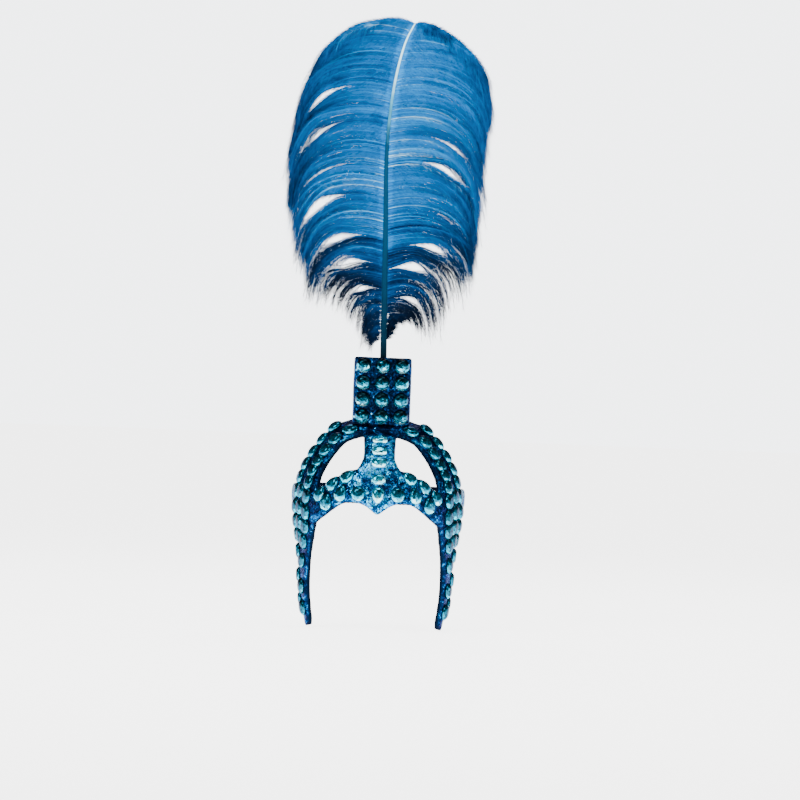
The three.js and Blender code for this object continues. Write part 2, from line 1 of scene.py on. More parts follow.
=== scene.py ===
"""Looks of a showgirl feather headdress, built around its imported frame.

An open padded helmet in glitter fabric carries foil-backed acrylic stones and a covered box with
one dyed ostrich plume. All sizes are in metres in the frame's own axes: +Z is up and the front
looks towards -Y.
"""

from __future__ import annotations

import logging
import math
from dataclasses import dataclass
from enum import Enum, IntEnum
from functools import partial

import bpy
import numpy as np
from mathutils import Matrix, Vector, noise


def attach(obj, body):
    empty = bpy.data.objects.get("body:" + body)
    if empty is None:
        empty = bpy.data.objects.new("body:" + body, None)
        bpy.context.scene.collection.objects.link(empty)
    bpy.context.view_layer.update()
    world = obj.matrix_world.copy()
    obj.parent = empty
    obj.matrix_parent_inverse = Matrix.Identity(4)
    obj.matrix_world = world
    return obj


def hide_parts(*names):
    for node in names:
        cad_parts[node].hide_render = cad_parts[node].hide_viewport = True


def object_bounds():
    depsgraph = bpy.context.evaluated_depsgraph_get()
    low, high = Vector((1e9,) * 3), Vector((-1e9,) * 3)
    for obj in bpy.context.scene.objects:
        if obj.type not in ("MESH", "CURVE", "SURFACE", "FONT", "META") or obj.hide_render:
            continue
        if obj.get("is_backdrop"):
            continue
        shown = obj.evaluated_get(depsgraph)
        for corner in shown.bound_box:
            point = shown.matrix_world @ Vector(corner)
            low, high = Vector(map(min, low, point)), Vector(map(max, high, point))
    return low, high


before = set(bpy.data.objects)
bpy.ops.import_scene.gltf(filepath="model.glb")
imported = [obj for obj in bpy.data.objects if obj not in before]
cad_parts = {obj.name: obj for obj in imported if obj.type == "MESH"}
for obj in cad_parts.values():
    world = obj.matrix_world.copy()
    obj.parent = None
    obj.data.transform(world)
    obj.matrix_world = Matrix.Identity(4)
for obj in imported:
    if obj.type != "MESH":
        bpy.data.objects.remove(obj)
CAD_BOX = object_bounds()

MM = 0.001
SEED = 3734
BODY = "root"
LOG = logging.getLogger("headdress")


# Meshes


def mesh_object(name: str, points: np.ndarray, faces: np.ndarray) -> bpy.types.Object:
    """Makes an object from points and faces that all have the same number of corners.

    Args:
        name: the piece's name.
        points: its corners, one row each, in metres.
        faces: the corners of each face, one row each.

    Returns:
        The object, linked to the scene.
    """
    corners = faces.shape[1]
    mesh = bpy.data.meshes.new(name)
    mesh.vertices.add(len(points))
    mesh.vertices.foreach_set("co", points.astype(np.float32).ravel())
    mesh.loops.add(faces.size)
    mesh.loops.foreach_set("vertex_index", faces.astype(np.int32).ravel())
    mesh.polygons.add(len(faces))
    starts = np.arange(0, faces.size, corners, dtype=np.int32)
    mesh.polygons.foreach_set("loop_start", starts)
    mesh.update(calc_edges=True)
    obj = bpy.data.objects.new(name, mesh)
    bpy.context.scene.collection.objects.link(obj)
    return obj


def loft(rings: np.ndarray) -> tuple[np.ndarray, np.ndarray]:
    """Joins rings of equally many points and closes both ends with fans.

    Args:
        rings: an array of rings by points by 3.

    Returns:
        The points and the triangles.
    """
    count, size = rings.shape[:2]
    points = rings.reshape(-1, 3)
    k = np.arange(size)
    following = (k + 1) % size
    sides = []
    for ring in range(count - 1):
        low, high = ring * size, (ring + 1) * size
        sides.append(np.stack([low + k, low + following, high + following], 1))
        sides.append(np.stack([low + k, high + following, high + k], 1))
    last = (count - 1) * size
    hubs = np.array([rings[0].mean(0), rings[-1].mean(0)])
    first_hub = len(points)
    sides.append(np.stack([np.full(size, first_hub), following, k], 1))
    sides.append(np.stack([np.full(size, first_hub + 1), last + k, last + following], 1))
    return np.vstack([points, hubs]), np.vstack(sides)


def joined(parts: list[tuple[np.ndarray, np.ndarray]]) -> tuple[np.ndarray, np.ndarray]:
    """Puts several meshes into one pair of arrays.

    Args:
        parts: pairs of points and faces.

    Returns:
        All points, and all faces with their corners counted on.
    """
    points, faces, start = [], [], 0
    for part_points, part_faces in parts:
        points.append(part_points)
        faces.append(part_faces + start)
        start += len(part_points)
    return np.vstack(points), np.vstack(faces)


def with_modifiers(obj: bpy.types.Object) -> bpy.types.Object:
    """Applies an object's modifiers to its mesh.

    Args:
        obj: the object.

    Returns:
        The same object.
    """
    graph = bpy.context.evaluated_depsgraph_get()
    mesh = bpy.data.meshes.new_from_object(obj.evaluated_get(graph))
    obj.modifiers.clear()
    obj.data = mesh
    mesh.name = obj.name
    return obj


def corner_values(mesh: bpy.types.Mesh, key: str) -> np.ndarray:
    """Reads what a mesh stores for its corners.

    Args:
        mesh: the mesh.
        key: co for their places or normal for their normals.

    Returns:
        One row for each corner.
    """
    flat = np.zeros(len(mesh.vertices) * 3, np.float32)
    mesh.vertices.foreach_get(key, flat)
    return flat.reshape(-1, 3).astype(float)


def move_corners(mesh: bpy.types.Mesh, points: np.ndarray) -> None:
    """Moves the mesh's corners to new places."""
    mesh.vertices.foreach_set("co", points.astype(np.float32).ravel())
    mesh.update()


def relax(mesh: bpy.types.Mesh, rounds: int, share: float) -> None:
    """Moves each corner towards the middle of its neighbours, as cloth pulled over a joint lies.

    Args:
        mesh: the mesh to change.
        rounds: how many times.
        share: how far it moves each time, from 0 to 1.
    """
    edges = np.zeros(len(mesh.edges) * 2, np.int32)
    mesh.edges.foreach_get("vertices", edges)
    a, b = edges.reshape(-1, 2).T
    points = corner_values(mesh, "co")
    degree = np.bincount(np.concatenate([a, b]), minlength=len(points))[:, None]
    for _ in range(rounds):
        total = np.zeros_like(points)
        np.add.at(total, a, points[b])
        np.add.at(total, b, points[a])
        points += share * (total / np.maximum(degree, 1) - points)
    move_corners(mesh, points)


def store(mesh: bpy.types.Mesh, name: str, values: np.ndarray, domain: str = "POINT") -> None:
    """Keeps one number for each corner or face, for a material to read.

    Args:
        mesh: the mesh.
        name: the attribute's name.
        values: the numbers, in the mesh's own order.
        domain: POINT or FACE.
    """
    attribute = mesh.attributes.new(name, "FLOAT", domain)
    attribute.data.foreach_set("value", values.astype(np.float32))


def unit(vectors: np.ndarray) -> np.ndarray:
    """The vectors along the last axis, each made one long."""
    return vectors / np.maximum(np.linalg.norm(vectors, axis=-1, keepdims=True), 1e-12)


def rising(values: np.ndarray, start: float, width: float) -> np.ndarray:
    """Goes from 0 at the start to 1 over the width, which is negative where it falls."""
    return np.clip((values - start) / width, 0, 1)


def dress(
    obj: bpy.types.Object, material: bpy.types.Material, replaced: list[str]
) -> bpy.types.Object:
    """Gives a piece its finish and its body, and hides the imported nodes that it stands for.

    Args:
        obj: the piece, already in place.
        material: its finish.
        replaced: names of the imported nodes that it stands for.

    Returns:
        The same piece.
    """
    obj.data.materials.clear()
    obj.data.materials.append(material)
    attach(obj, BODY)
    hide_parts(*replaced)
    LOG.info("%s: %d corners, %d faces", obj.name, len(obj.data.vertices), len(obj.data.polygons))
    return obj


# Curves and bands


class SplinePath:
    """A smooth path through points that keeps close to them where they are unevenly spaced."""

    def __init__(self, points: np.ndarray) -> None:
        """Works out one cubic for each stretch between two points.

        Args:
            points: the points, one row each.
        """
        ends = 2 * points[0] - points[1], 2 * points[-1] - points[-2]
        padded = np.vstack([ends[0], points, ends[1]])
        gaps = np.sqrt(np.linalg.norm(np.diff(padded, axis=0), axis=1))[:, None]
        p0, p1, p2, p3 = padded[:-3], padded[1:-2], padded[2:-1], padded[3:]
        g0, g1, g2 = gaps[:-2], gaps[1:-1], gaps[2:]
        start = ((p1 - p0) / g0 - (p2 - p0) / (g0 + g1) + (p2 - p1) / g1) * g1
        end = ((p2 - p1) / g1 - (p3 - p1) / (g1 + g2) + (p3 - p2) / g2) * g1
        self.cubics = np.stack(
            [p1, start, -3 * p1 + 3 * p2 - 2 * start - end, 2 * p1 - 2 * p2 + start + end]
        )

    def at(self, share: np.ndarray) -> np.ndarray:
        """Points at shares of the way, counted by points.

        Args:
            share: numbers from 0 to 1.

        Returns:
            One row for each.
        """
        count = self.cubics.shape[1]
        place = np.atleast_1d(share) * count
        stretch = np.clip(np.floor(place).astype(int), 0, count - 1)
        w = (place - stretch)[:, None]
        c0, c1, c2, c3 = (self.cubics[k][stretch] for k in range(4))
        return c0 + w * (c1 + w * (c2 + w * c3))

    def at_length(self, share: np.ndarray, samples: int = 400) -> np.ndarray:
        """Points at shares of the way, counted by length.

        Args:
            share: numbers from 0 to 1.
            samples: how finely the length is measured.

        Returns:
            One row for each.
        """
        steps = np.linspace(0, 1, samples)
        walked = np.linalg.norm(np.diff(self.at(steps), axis=0), axis=1)
        walked = np.concatenate([[0.0], np.cumsum(walked)])
        return self.at(np.interp(share, walked / walked[-1], steps))


@dataclass
class Band:
    """A padded ribbon between two edge paths, with a crown across it.

    Attributes:
        first: the edge at share 0 across.
        second: the edge at share 1 across.
        crown: how far its middle stands out.
        facing: 1 or -1, the side that is outside.
        step: how far apart the places are from which its ways along and across are taken.
        face_points: corners across one face of its skin.
        edge_points: corners round one edge of it.
    """

    first: SplinePath
    second: SplinePath
    crown: float
    facing: float
    step: float = 1e-3
    face_points: int = 14
    edge_points: int = 9

    def frame(self, t: np.ndarray) -> tuple[np.ndarray, np.ndarray, np.ndarray]:
        """Where the first edge is, the way across and the way out.

        Args:
            t: shares of the way along.

        Returns:
            Three arrays of rows.
        """
        start = self.first.at(t)
        across = self.second.at(t) - start
        before, after = np.maximum(t - self.step, 0), np.minimum(t + self.step, 1)
        middle = [(self.first.at(s) + self.second.at(s)) / 2 for s in (before, after)]
        along = unit(middle[1] - middle[0])
        return start, across, unit(np.cross(along, across)) * self.facing

    def point(self, t: np.ndarray, u: np.ndarray, lift: np.ndarray) -> np.ndarray:
        """Points on or above the outer face.

        Args:
            t: shares along.
            u: shares across.
            lift: heights above the face.

        Returns:
            One row for each.
        """
        t, u, lift = (np.asarray(v, float) for v in np.broadcast_arrays(t, u, lift))
        start, across, out = self.frame(t.ravel())
        u, lift = u.ravel()[:, None], lift.ravel()[:, None]
        return start + across * u + out * (self.crown * 4 * u * (1 - u) + lift)

    def seat(self, t: float, u: float) -> Matrix:
        """The frame in which a stone lies on the face: z out, y along the band.

        Args:
            t: share along.
            u: share across.

        Returns:
            A matrix from the stone's axes to the row frame.
        """
        d = self.step
        place, left, right, back, ahead = self.point(
            np.array([t, t, t, t - d, t + d]), np.array([u, u - d, u + d, u, u]), 0.0
        )
        along = unit(ahead - back)
        normal = unit(np.cross(along, right - left)) * self.facing
        y = unit(along - along.dot(normal) * normal)
        matrix = Matrix(np.stack([np.cross(y, normal), y, normal], 1).tolist()).to_4x4()
        matrix.translation = place
        return matrix

    def skin(
        self, start: float, end: float, thickness: float, rings: int = 110
    ) -> tuple[np.ndarray, np.ndarray]:
        """The whole padded form, with rounded edges.

        Args:
            start: share along where it begins.
            end: share along where it ends.
            thickness: how thick the padding is.
            rings: how many sections it has.

        Returns:
            Points and triangles.
        """
        corner = np.linspace(0, math.pi, self.edge_points)[1:-1]
        face = np.linspace(0, 1, self.face_points)
        t = np.linspace(start, end, rings)
        width = np.linalg.norm(self.frame(t)[1], axis=1)[:, None]
        edge = np.minimum(thickness / 2, width / 3)
        inset = edge / width
        top = inset + face * (1 - 2 * inset)
        far = 1 - inset + inset * np.sin(corner)
        near = inset - inset * np.sin(corner)
        drop = -thickness / 2 * (1 - np.cos(corner))
        u = np.hstack([top, far, top[:, ::-1], near])
        lift = np.concatenate([0 * face, drop, 0 * face - thickness, drop[::-1]])
        places = self.point(t[:, None] + 0 * u, u, lift[None, :] + 0 * u)
        return loft(places.reshape(rings, -1, 3))


# Nodes and finishes


def linear(colour: str) -> tuple[float, float, float, float]:
    """Turns an sRGB hex colour into linear light.

    Args:
        colour: six hex digits after a #.

    Returns:
        Red, green, blue and an alpha of 1.
    """
    parts = [int(colour[k : k + 2], 16) / 255 for k in (1, 3, 5)]
    light = [c / 12.92 if c <= 0.04045 else ((c + 0.055) / 1.055) ** 2.4 for c in parts]
    return light[0], light[1], light[2], 1.0


def add_node(
    tree: bpy.types.NodeTree,
    kind: str,
    values: dict | None = None,
    links: dict | None = None,
    **settings: object,
) -> bpy.types.Node:
    """Adds a node with its settings, its socket values and its links.

    Args:
        tree: the material's tree.
        kind: the node's type, without ShaderNode in front.
        values: numbers or colours by input name or place.
        links: output sockets by input name or place.
        settings: the node's own properties.

    Returns:
        The node.
    """
    node = tree.nodes.new(f"ShaderNode{kind}")
    for key, value in settings.items():
        setattr(node, key, value)
    for key, value in (values or {}).items():
        node.inputs[key].default_value = value
    for key, socket in (links or {}).items():
        tree.links.new(socket, node.inputs[key])
    return node


def add_ramp(
    tree: bpy.types.NodeTree, source: bpy.types.NodeSocket, stops: tuple[tuple[float, str], ...]
) -> bpy.types.NodeSocket:
    """Adds a colour ramp.

    Args:
        tree: the material's tree.
        source: the number that it reads.
        stops: places from 0 to 1, each with its sRGB hex colour.

    Returns:
        The ramp's colour socket.
    """
    node = add_node(tree, "ValToRGB", links={0: source})
    elements = node.color_ramp.elements
    while len(elements) < len(stops):
        elements.new(1.0)
    for element, (place, colour) in zip(elements, stops):
        element.position = place
        element.color = linear(colour)
    return node.outputs["Color"]


def new_material(name: str) -> tuple[bpy.types.Material, bpy.types.NodeTree]:
    """Makes an empty node material.

    Args:
        name: its name.

    Returns:
        The material and its tree.
    """
    material = bpy.data.materials.new(name)
    material.use_nodes = True
    material.node_tree.nodes.clear()
    return material, material.node_tree


def finish_material(tree: bpy.types.NodeTree, shader: bpy.types.Node) -> None:
    """Joins a shader to the material's output."""
    add_node(tree, "OutputMaterial", links={"Surface": shader.outputs[0]})


@dataclass(frozen=True)
class GlitterFoilFabric:
    """Knitted backing with a crumpled hologram foil laid on it in flakes.

    It gives the eye a restless blue: single flakes flash white or cyan while their neighbours
    stay navy, and broad soft crumples run through them. The palest flakes are painted glints,
    the crumples' folds are painted shade and their crests painted highlights. Its lining is the
    plain navy backing, and its turned edges take that colour as painted shade. Real flakes are
    about 0.4 mm, drawn at 1.3 mm so that they show.

    Attributes:
        name: the material's name.
        painted_fold_shade: the colour in the folds, painted shade.
        middle: the foil's body colour.
        bright: the colour on the crumples' crests, a painted highlight.
        painted_glint: the colour of the palest flakes, a painted glint.
        lining_and_painted_edge_shade: the backing's colour, and painted shade on turned edges.
        edge: the tint of what it mirrors at a grazing view.
        flake: a flake's width in metres.
        flake_share: how much each flake's own tone counts.
        crumple: the crumples' width in metres.
        crumple_depth: their depth in metres.
        tilt: how far the flakes lean from the surface, and the lining's knit.
        roughness: how blurred the foil is, and the lining.
    """

    name: str
    painted_fold_shade: str
    middle: str
    bright: str
    painted_glint: str
    lining_and_painted_edge_shade: str = "#050F22"
    edge: str = "#2E9CC0"
    flake: float = 1.3 * MM
    flake_share: float = 0.38
    crumple: float = 9 * MM
    crumple_depth: float = 0.6 * MM
    tilt: tuple[float, float] = (0.5, 0.1)
    roughness: tuple[float, float] = (0.24, 0.75)

    def build(self) -> bpy.types.Material:
        """Makes the material.

        Returns:
            The material.
        """
        material, tree = new_material(self.name)
        add = partial(add_node, tree)
        place = add("TexCoord").outputs["Object"]
        foil, lining_and_painted_edge_shade = (
            add("Attribute", attribute_name=key).outputs["Fac"] for key in ("foil", "lining_and_painted_edge_shade")
        )
        flakes = add("TexVoronoi", {"Scale": 1 / self.flake}, {"Vector": place}).outputs["Color"]
        folds = {"Scale": 1 / self.crumple, "Detail": 3.0, "Distortion": 0.8}
        crumples = add("TexNoise", folds, {"Vector": place}).outputs["Fac"]
        pick = add("SeparateColor", links={0: flakes}).outputs["Red"]
        tone = add("Math", {1: self.flake_share}, {0: pick}, operation="MULTIPLY").outputs[0]
        # Crumple height also sets the tone: painted shade in folds, painted highlights on crests.
        for part in (crumples, foil):
            tone = add("Math", links={0: tone, 1: part}, operation="ADD").outputs[0]
        # Stops: painted fold shade, the foil's body, painted crest highlight, painted glint.
        stops = ((0.52, self.painted_fold_shade), (0.72, self.middle), (0.87, self.bright), (0.98, self.painted_glint))
        # The lining's colour also goes on the turned edges as painted shade.
        sources = {0: lining_and_painted_edge_shade, 6: add_ramp(tree, tone, stops)}
        colour = add("Mix", {7: linear(self.lining_and_painted_edge_shade)}, sources, data_type="RGBA").outputs[2]
        tilt, rough = (
            add("MapRange", {"To Min": low, "To Max": high}, {"Value": lining_and_painted_edge_shade}).outputs[0]
            for low, high in (self.tilt, self.roughness)
        )
        lean = add("VectorMath", {1: (0.5, 0.5, 0.5)}, {0: flakes}, operation="SUBTRACT")
        lean = add("VectorMath", links={0: lean.outputs[0], "Scale": tilt}, operation="SCALE")
        surface = add("NewGeometry").outputs["Normal"]
        normal = add("VectorMath", links={0: surface, 1: lean.outputs[0]}, operation="ADD")
        normal = add("VectorMath", links={0: normal.outputs[0]}, operation="NORMALIZE")
        bump = add(
            "Bump",
            {"Strength": 0.5, "Distance": self.crumple_depth},
            {"Height": crumples, "Normal": normal.outputs[0]},
        )
        shader = add(
            "BsdfPrincipled",
            {"Metallic": 0.8, "Specular IOR Level": 0.2, "Specular Tint": linear(self.edge)},
            {"Base Color": colour, "Roughness": rough, "Normal": bump.outputs[0]},
        )
        finish_material(tree, shader)
        return material


@dataclass(frozen=True)
class PatchyColour:
    """A stored number turned into a colour, which drifts in soft patches over the piece.

    Attributes:
        attribute: the stored number's name.
        patch: the patches' width in metres.
        detail: how ragged they are.
        drift: how far they shift the number either way.
    """

    attribute: str
    patch: float
    detail: float
    drift: float

    def socket(
        self, tree: bpy.types.NodeTree, stops: tuple[tuple[float, str], ...]
    ) -> bpy.types.NodeSocket:
        """Adds its nodes.

        Args:
            tree: the material's tree.
            stops: the number, each with its sRGB hex colour.

        Returns:
            The colour socket.
        """
        add = partial(add_node, tree)
        number = add("Attribute", attribute_name=self.attribute).outputs["Fac"]
        place = add("TexCoord").outputs["Object"]
        grain = {"Scale": 1 / self.patch, "Detail": self.detail}
        patches = add("TexNoise", grain, {"Vector": place}).outputs["Fac"]
        shift = add("MapRange", {"To Min": -self.drift, "To Max": self.drift}, {"Value": patches})
        total = add("Math", links={0: number, 1: shift.outputs[0]}, operation="ADD")
        return add_ramp(tree, total.outputs[0], stops)


@dataclass(frozen=True)
class FoiledAcrylic:
    """Moulded acrylic with a mirror foil on its back.

    It gives the eye aqua facets of very different brightness under one clear and glossy face.
    That brightness is painted light, for the light of another part of the foil that each facet
    would send back.

    Attributes:
        name: the material's name.
        stops: a facet's painted brightness, each with its colour.
        roughness: how blurred the foil is.
        edge: the tint of what it mirrors at a grazing view.
        depth: how a facet's painted brightness drifts in patches.
    """

    name: str
    stops: tuple[tuple[float, str], ...]
    roughness: float = 0.12
    edge: str = "#1C98AC"
    depth: PatchyColour = PatchyColour("facet", 2.2 * MM, 1.0, 0.12)

    def build(self) -> bpy.types.Material:
        """Makes the material.

        Returns:
            The material.
        """
        material, tree = new_material(self.name)
        values = {
            "Metallic": 0.85,
            "Specular Tint": linear(self.edge),
            "Roughness": self.roughness,
            "IOR": 1.49,
            "Coat Weight": 0.12,
            "Coat Roughness": 0.02,
            "Coat IOR": 1.49,
        }
        colour = self.depth.socket(tree, self.stops)
        finish_material(tree, add_node(tree, "BsdfPrincipled", values, {"Base Color": colour}))
        return material


@dataclass(frozen=True)
class DyedKeratin:
    """Ostrich feather dyed in a bath: matt barbs, or the smoother quill.

    It gives the eye a soft sheen along each barb, and a dye that took unevenly, from navy in
    the down to a pale cyan where a barb stayed light.

    Attributes:
        name: the material's name.
        attribute: the stored number that says how light the dye is.
        stops: dye lightness, each with its colour.
        roughness: how matt it is.
        sheen: how much the fine hair on it shines at a grazing view.
        sheen_tint: the colour of that shine.
        patch: the width of the patches in which the dye took, in metres.
    """

    name: str
    attribute: str
    stops: tuple[tuple[float, str], ...]
    roughness: float = 0.6
    sheen: float = 0.03
    sheen_tint: str = "#2FA8F0"
    patch: float = 14 * MM

    def build(self) -> bpy.types.Material:
        """Makes the material.

        Returns:
            The material.
        """
        material, tree = new_material(self.name)
        values = {
            "Roughness": self.roughness,
            "Sheen Weight": self.sheen,
            "Sheen Roughness": 0.4,
            "Sheen Tint": linear(self.sheen_tint),
            "Specular IOR Level": 0.03,
            "IOR": 1.54,
        }
        colour = PatchyColour(self.attribute, self.patch, 2.0, 0.1).socket(tree, self.stops)
        finish_material(tree, add_node(tree, "BsdfPrincipled", values, {"Base Color": colour}))
        return material


# Colours: painted fold shade, foil body, painted crest highlight, painted glint.
HELMET_FABRIC = GlitterFoilFabric(
    "crumpled foil fabric", "#000E26", "#022C5C", "#0480C4", "#44CCF0"
)
BOX_FABRIC = GlitterFoilFabric("dark foil fabric", "#000A1E", "#01214A", "#055C98", "#8CE6F8")
# Painted facet brightness, from painted shade up to a near-white painted highlight.
STONE_ACRYLIC = FoiledAcrylic(
    "foil backed acrylic",
    (
        (0.0, "#00141C"),
        (0.25, "#013440"),
        (0.5, "#006078"),
        (0.68, "#0096B4"),
        (0.84, "#20CCE4"),
        (0.97, "#B8FAFF"),
    ),
)
PLUME_BARBS = DyedKeratin(
    "dyed ostrich barbs",
    "dye",
    (
        (0.02, "#000A1C"),
        (0.18, "#001C3E"),
        (0.34, "#00386A"),
        (0.56, "#0060A4"),
        (0.78, "#0082C6"),
        (1.0, "#A4DCEE"),
    ),
)
PLUME_QUILL = DyedKeratin(
    "dyed quill",
    "rise",
    (
        (0.0, "#021826"),
        (0.35, "#04304A"),
        (0.62, "#04344E"),
        (0.76, "#3A8CA8"),
        (0.88, "#B4E6F2"),
    ),
    0.35,
    0.1,
)


# Helmet


@dataclass
class HelmetFrame:
    """The open padded helmet: brow band, centre strip, two side bands and back band.

    Attributes:
        half_width: half the helmet's width.
        half_length: half its length.
        crest_height: the crest's height over the origin.
        arm_drop: the arms' reach below it.
        thickness: the padding's thickness.
        voxel: how fine the skin is.
        foil_middle: the foil's tone at the middle.
        foil_painted_shade: painted shade darker at the sides, and painted shadow under the box.
    """

    half_width: float = 81.5 * MM
    half_length: float = 100 * MM
    crest_height: float = 74 * MM
    arm_drop: float = 119 * MM
    thickness: float = 6.5 * MM
    brow_crown: float = 1.6 * MM
    side_crown: float = 3 * MM
    strip_crown: float = 2 * MM
    back_crown: float = 1 * MM
    voxel: float = 1.45 * MM
    foil_middle: float = 0.1
    foil_painted_shade: float = 0.22
    nodes: tuple[str, ...] = (
        "brow_band",
        "back_band",
        "center_strip",
        "crest_pad",
        "left_arch",
        "right_arch",
        "left_cheek_arm",
        "right_cheek_arm",
    )

    # x, then y and z of the lower and the upper edge
    brow_rows = (
        (0, -0.99, -0.072, -0.887, 0.435),
        (0.086, -0.988, -0.03, -0.884, 0.438),
        (0.172, -0.98, 0.005, -0.872, 0.448),
        (0.258, -0.966, 0.032, -0.852, 0.452),
        (0.344, -0.946, 0.034, -0.83, 0.43),
        (0.43, -0.918, 0.008, -0.81, 0.388),
        (0.503, -0.885, -0.028, -0.79, 0.34),
        (0.565, -0.85, -0.062, -0.765, 0.288),
        (0.63, -0.81, -0.1, -0.735, 0.235),
        (0.7, -0.755, -0.14, -0.695, 0.18),
        (0.78, -0.68, -0.19, -0.63, 0.14),
    )
    # front edge x, y and z, then the rear edge's, from the crest down to the arm's end
    side_rows = (
        (0.2, -0.5, 0.9, 0.25, -0.21, 1.105),
        (0.4, -0.51, 0.815, 0.53, -0.22, 1),
        (0.515, -0.53, 0.685, 0.678, -0.225, 0.83),
        (0.605, -0.56, 0.54, 0.79, -0.24, 0.655),
        (0.665, -0.6, 0.42, 0.875, -0.25, 0.48),
        (0.705, -0.64, 0.31, 0.93, -0.255, 0.3),
        (0.725, -0.69, 0.15, 0.965, -0.26, 0.12),
        (0.73, -0.722, -0.04, 0.98, -0.25, -0.05),
        (0.738, -0.7, -0.15, 0.958, -0.23, -0.17),
        (0.765, -0.62, -0.27, 0.917, -0.19, -0.28),
        (0.797, -0.52, -0.42, 0.878, -0.13, -0.42),
        (0.81, -0.44, -0.63, 0.848, -0.1, -0.63),
        (0.792, -0.4, -0.81, 0.806, -0.1, -0.82),
        (0.764, -0.36, -0.94, 0.77, -0.14, -0.95),
        (0.752, -0.3, -0.985, 0.756, -0.21, -0.985),
    )
    # half x, y and z from the brow band up to the crest
    strip_rows = (
        (0.29, -0.895, 0.34),
        (0.245, -0.868, 0.46),
        (0.195, -0.82, 0.58),
        (0.186, -0.76, 0.68),
        (0.188, -0.67, 0.785),
        (0.192, -0.57, 0.865),
        (0.192, -0.47, 0.915),
    )
    # angle from the front, lower and upper level
    back_rows = (
        (72, -0.025, 0.24),
        (90, -0.025, 0.23),
        (120, -0.025, 0.23),
        (150, -0.025, 0.23),
        (180, -0.025, 0.23),
    )
    # the crest pad seen from the side: y, and z from the crest's top, in millimetres
    pad_outline = (
        (-47.8, -10.6),
        (-41, -9.5),
        (-13.2, -9.5),
        (-11, -7.3),
        (-11, -2.2),
        (-13.2, 0),
        (-41, 0),
        (-45.5, -1.9),
        (-48.9, -4.7),
        (-50, -7.3),
    )
    # its sections: x in millimetres, and their share of that outline
    pad_sections = ((-22, 0.9), (-20.5, 1), (0, 1), (20.5, 1), (22, 0.9))

    def places(self, rows: list[tuple[float, float, float]]) -> np.ndarray:
        """Turns rows of shares into points.

        Args:
            rows: x, y and level as shares of the helmet's sizes.

        Returns:
            One point for each row.
        """
        shares = np.array(rows, float)
        rise = np.where(shares[:, 2] >= 0, self.crest_height, self.arm_drop)
        return shares * np.stack([0 * rise + self.half_width, 0 * rise + self.half_length, rise], 1)

    def brow(self) -> Band:
        """The brow band across the front.

        Returns:
            The band, from -X to +X.
        """
        low = [(x, y, z) for x, y, z, _, _ in self.brow_rows]
        high = [(x, y, z) for x, _, _, y, z in self.brow_rows]
        edges = [
            self.places([(-x, y, z) for x, y, z in side[:0:-1]] + side) for side in (low, high)
        ]
        return Band(SplinePath(edges[0]), SplinePath(edges[1]), self.brow_crown, 1)

    def side(self, sign: int) -> Band:
        """One side band.

        Args:
            sign: 1 for +X, -1 for -X.

        Returns:
            The band.
        """
        front = self.places([(sign * x, y, z) for x, y, z, _, _, _ in self.side_rows])
        rear = self.places([(sign * x, y, z) for _, _, _, x, y, z in self.side_rows])
        return Band(SplinePath(front), SplinePath(rear), self.side_crown, sign)

    def strip(self) -> Band:
        """The strip up the middle of the front.

        Returns:
            The band, from the brow band up to the crest.
        """
        left = self.places([(-x, y, z) for x, y, z in self.strip_rows])
        right = self.places(list(self.strip_rows))
        return Band(SplinePath(left), SplinePath(right), self.strip_crown, -1)

    def back(self) -> Band:
        """The band round the back.

        Returns:
            The band, from +X round to -X.
        """
        mirrored = [(-angle, low, high) for angle, low, high in self.back_rows[-2::-1]]
        edges = []
        for column in (1, 2):
            rows = []
            for row in [*self.back_rows, *mirrored]:
                angle = math.radians(row[0])
                rows.append((math.sin(angle), -math.cos(angle), row[column]))
            edges.append(SplinePath(self.places(rows)))
        return Band(edges[0], edges[1], self.back_crown, 1)

    def crest_pad(self) -> tuple[np.ndarray, np.ndarray]:
        """The pad on the crest, as a prism from side to side with softened ends.

        Returns:
            Points and triangles.
        """
        profile = np.array(self.pad_outline) * MM + [0, self.crest_height]
        middle = profile.mean(0)
        rings = [
            np.column_stack([np.full(len(profile), x * MM), middle + (profile - middle) * share])
            for x, share in self.pad_sections
        ]
        return loft(np.array(rings))

    def outward(self, points: np.ndarray) -> np.ndarray:
        """The way out of the helmet at each point.

        Args:
            points: one row each.

        Returns:
            Unit vectors.
        """
        size = np.array([self.half_width, self.half_length, self.crest_height])
        raised = np.column_stack([points[:, :2], np.maximum(points[:, 2], 0)])
        return unit(raised / size**2)

    def build(self, finish: GlitterFoilFabric) -> bpy.types.Object:
        """Builds the one continuous skin and dresses it.

        Args:
            finish: its fabric.

        Returns:
            The piece.
        """
        parts = [
            self.brow().skin(0.01, 0.99, self.thickness),
            self.side(1).skin(0, 1, self.thickness, 150),
            self.side(-1).skin(0, 1, self.thickness, 150),
            self.strip().skin(0, 1, self.thickness, 60),
            self.back().skin(0, 1, self.thickness, 150),
            self.crest_pad(),
        ]
        skin = mesh_object("helmet_skin", *joined(parts))
        remesh = skin.modifiers.new("one skin", "REMESH")
        remesh.mode = "VOXEL"
        remesh.voxel_size = self.voxel
        with_modifiers(skin)
        relax(skin.data, 5, 0.5)
        points, normals = corner_values(skin.data, "co"), corner_values(skin.data, "normal")
        outside = np.einsum("ij,ij->i", normals, self.outward(points))
        puckers = np.array([self.pucker(p) for p in points]) * rising(outside, -0.4, 1)
        points += normals * puckers[:, None]
        move_corners(skin.data, points)
        # Inward faces and turned edges get the lining: real lining inside, painted shade on edges.
        store(skin.data, "lining_and_painted_edge_shade", rising(outside, 0.62, -0.3))
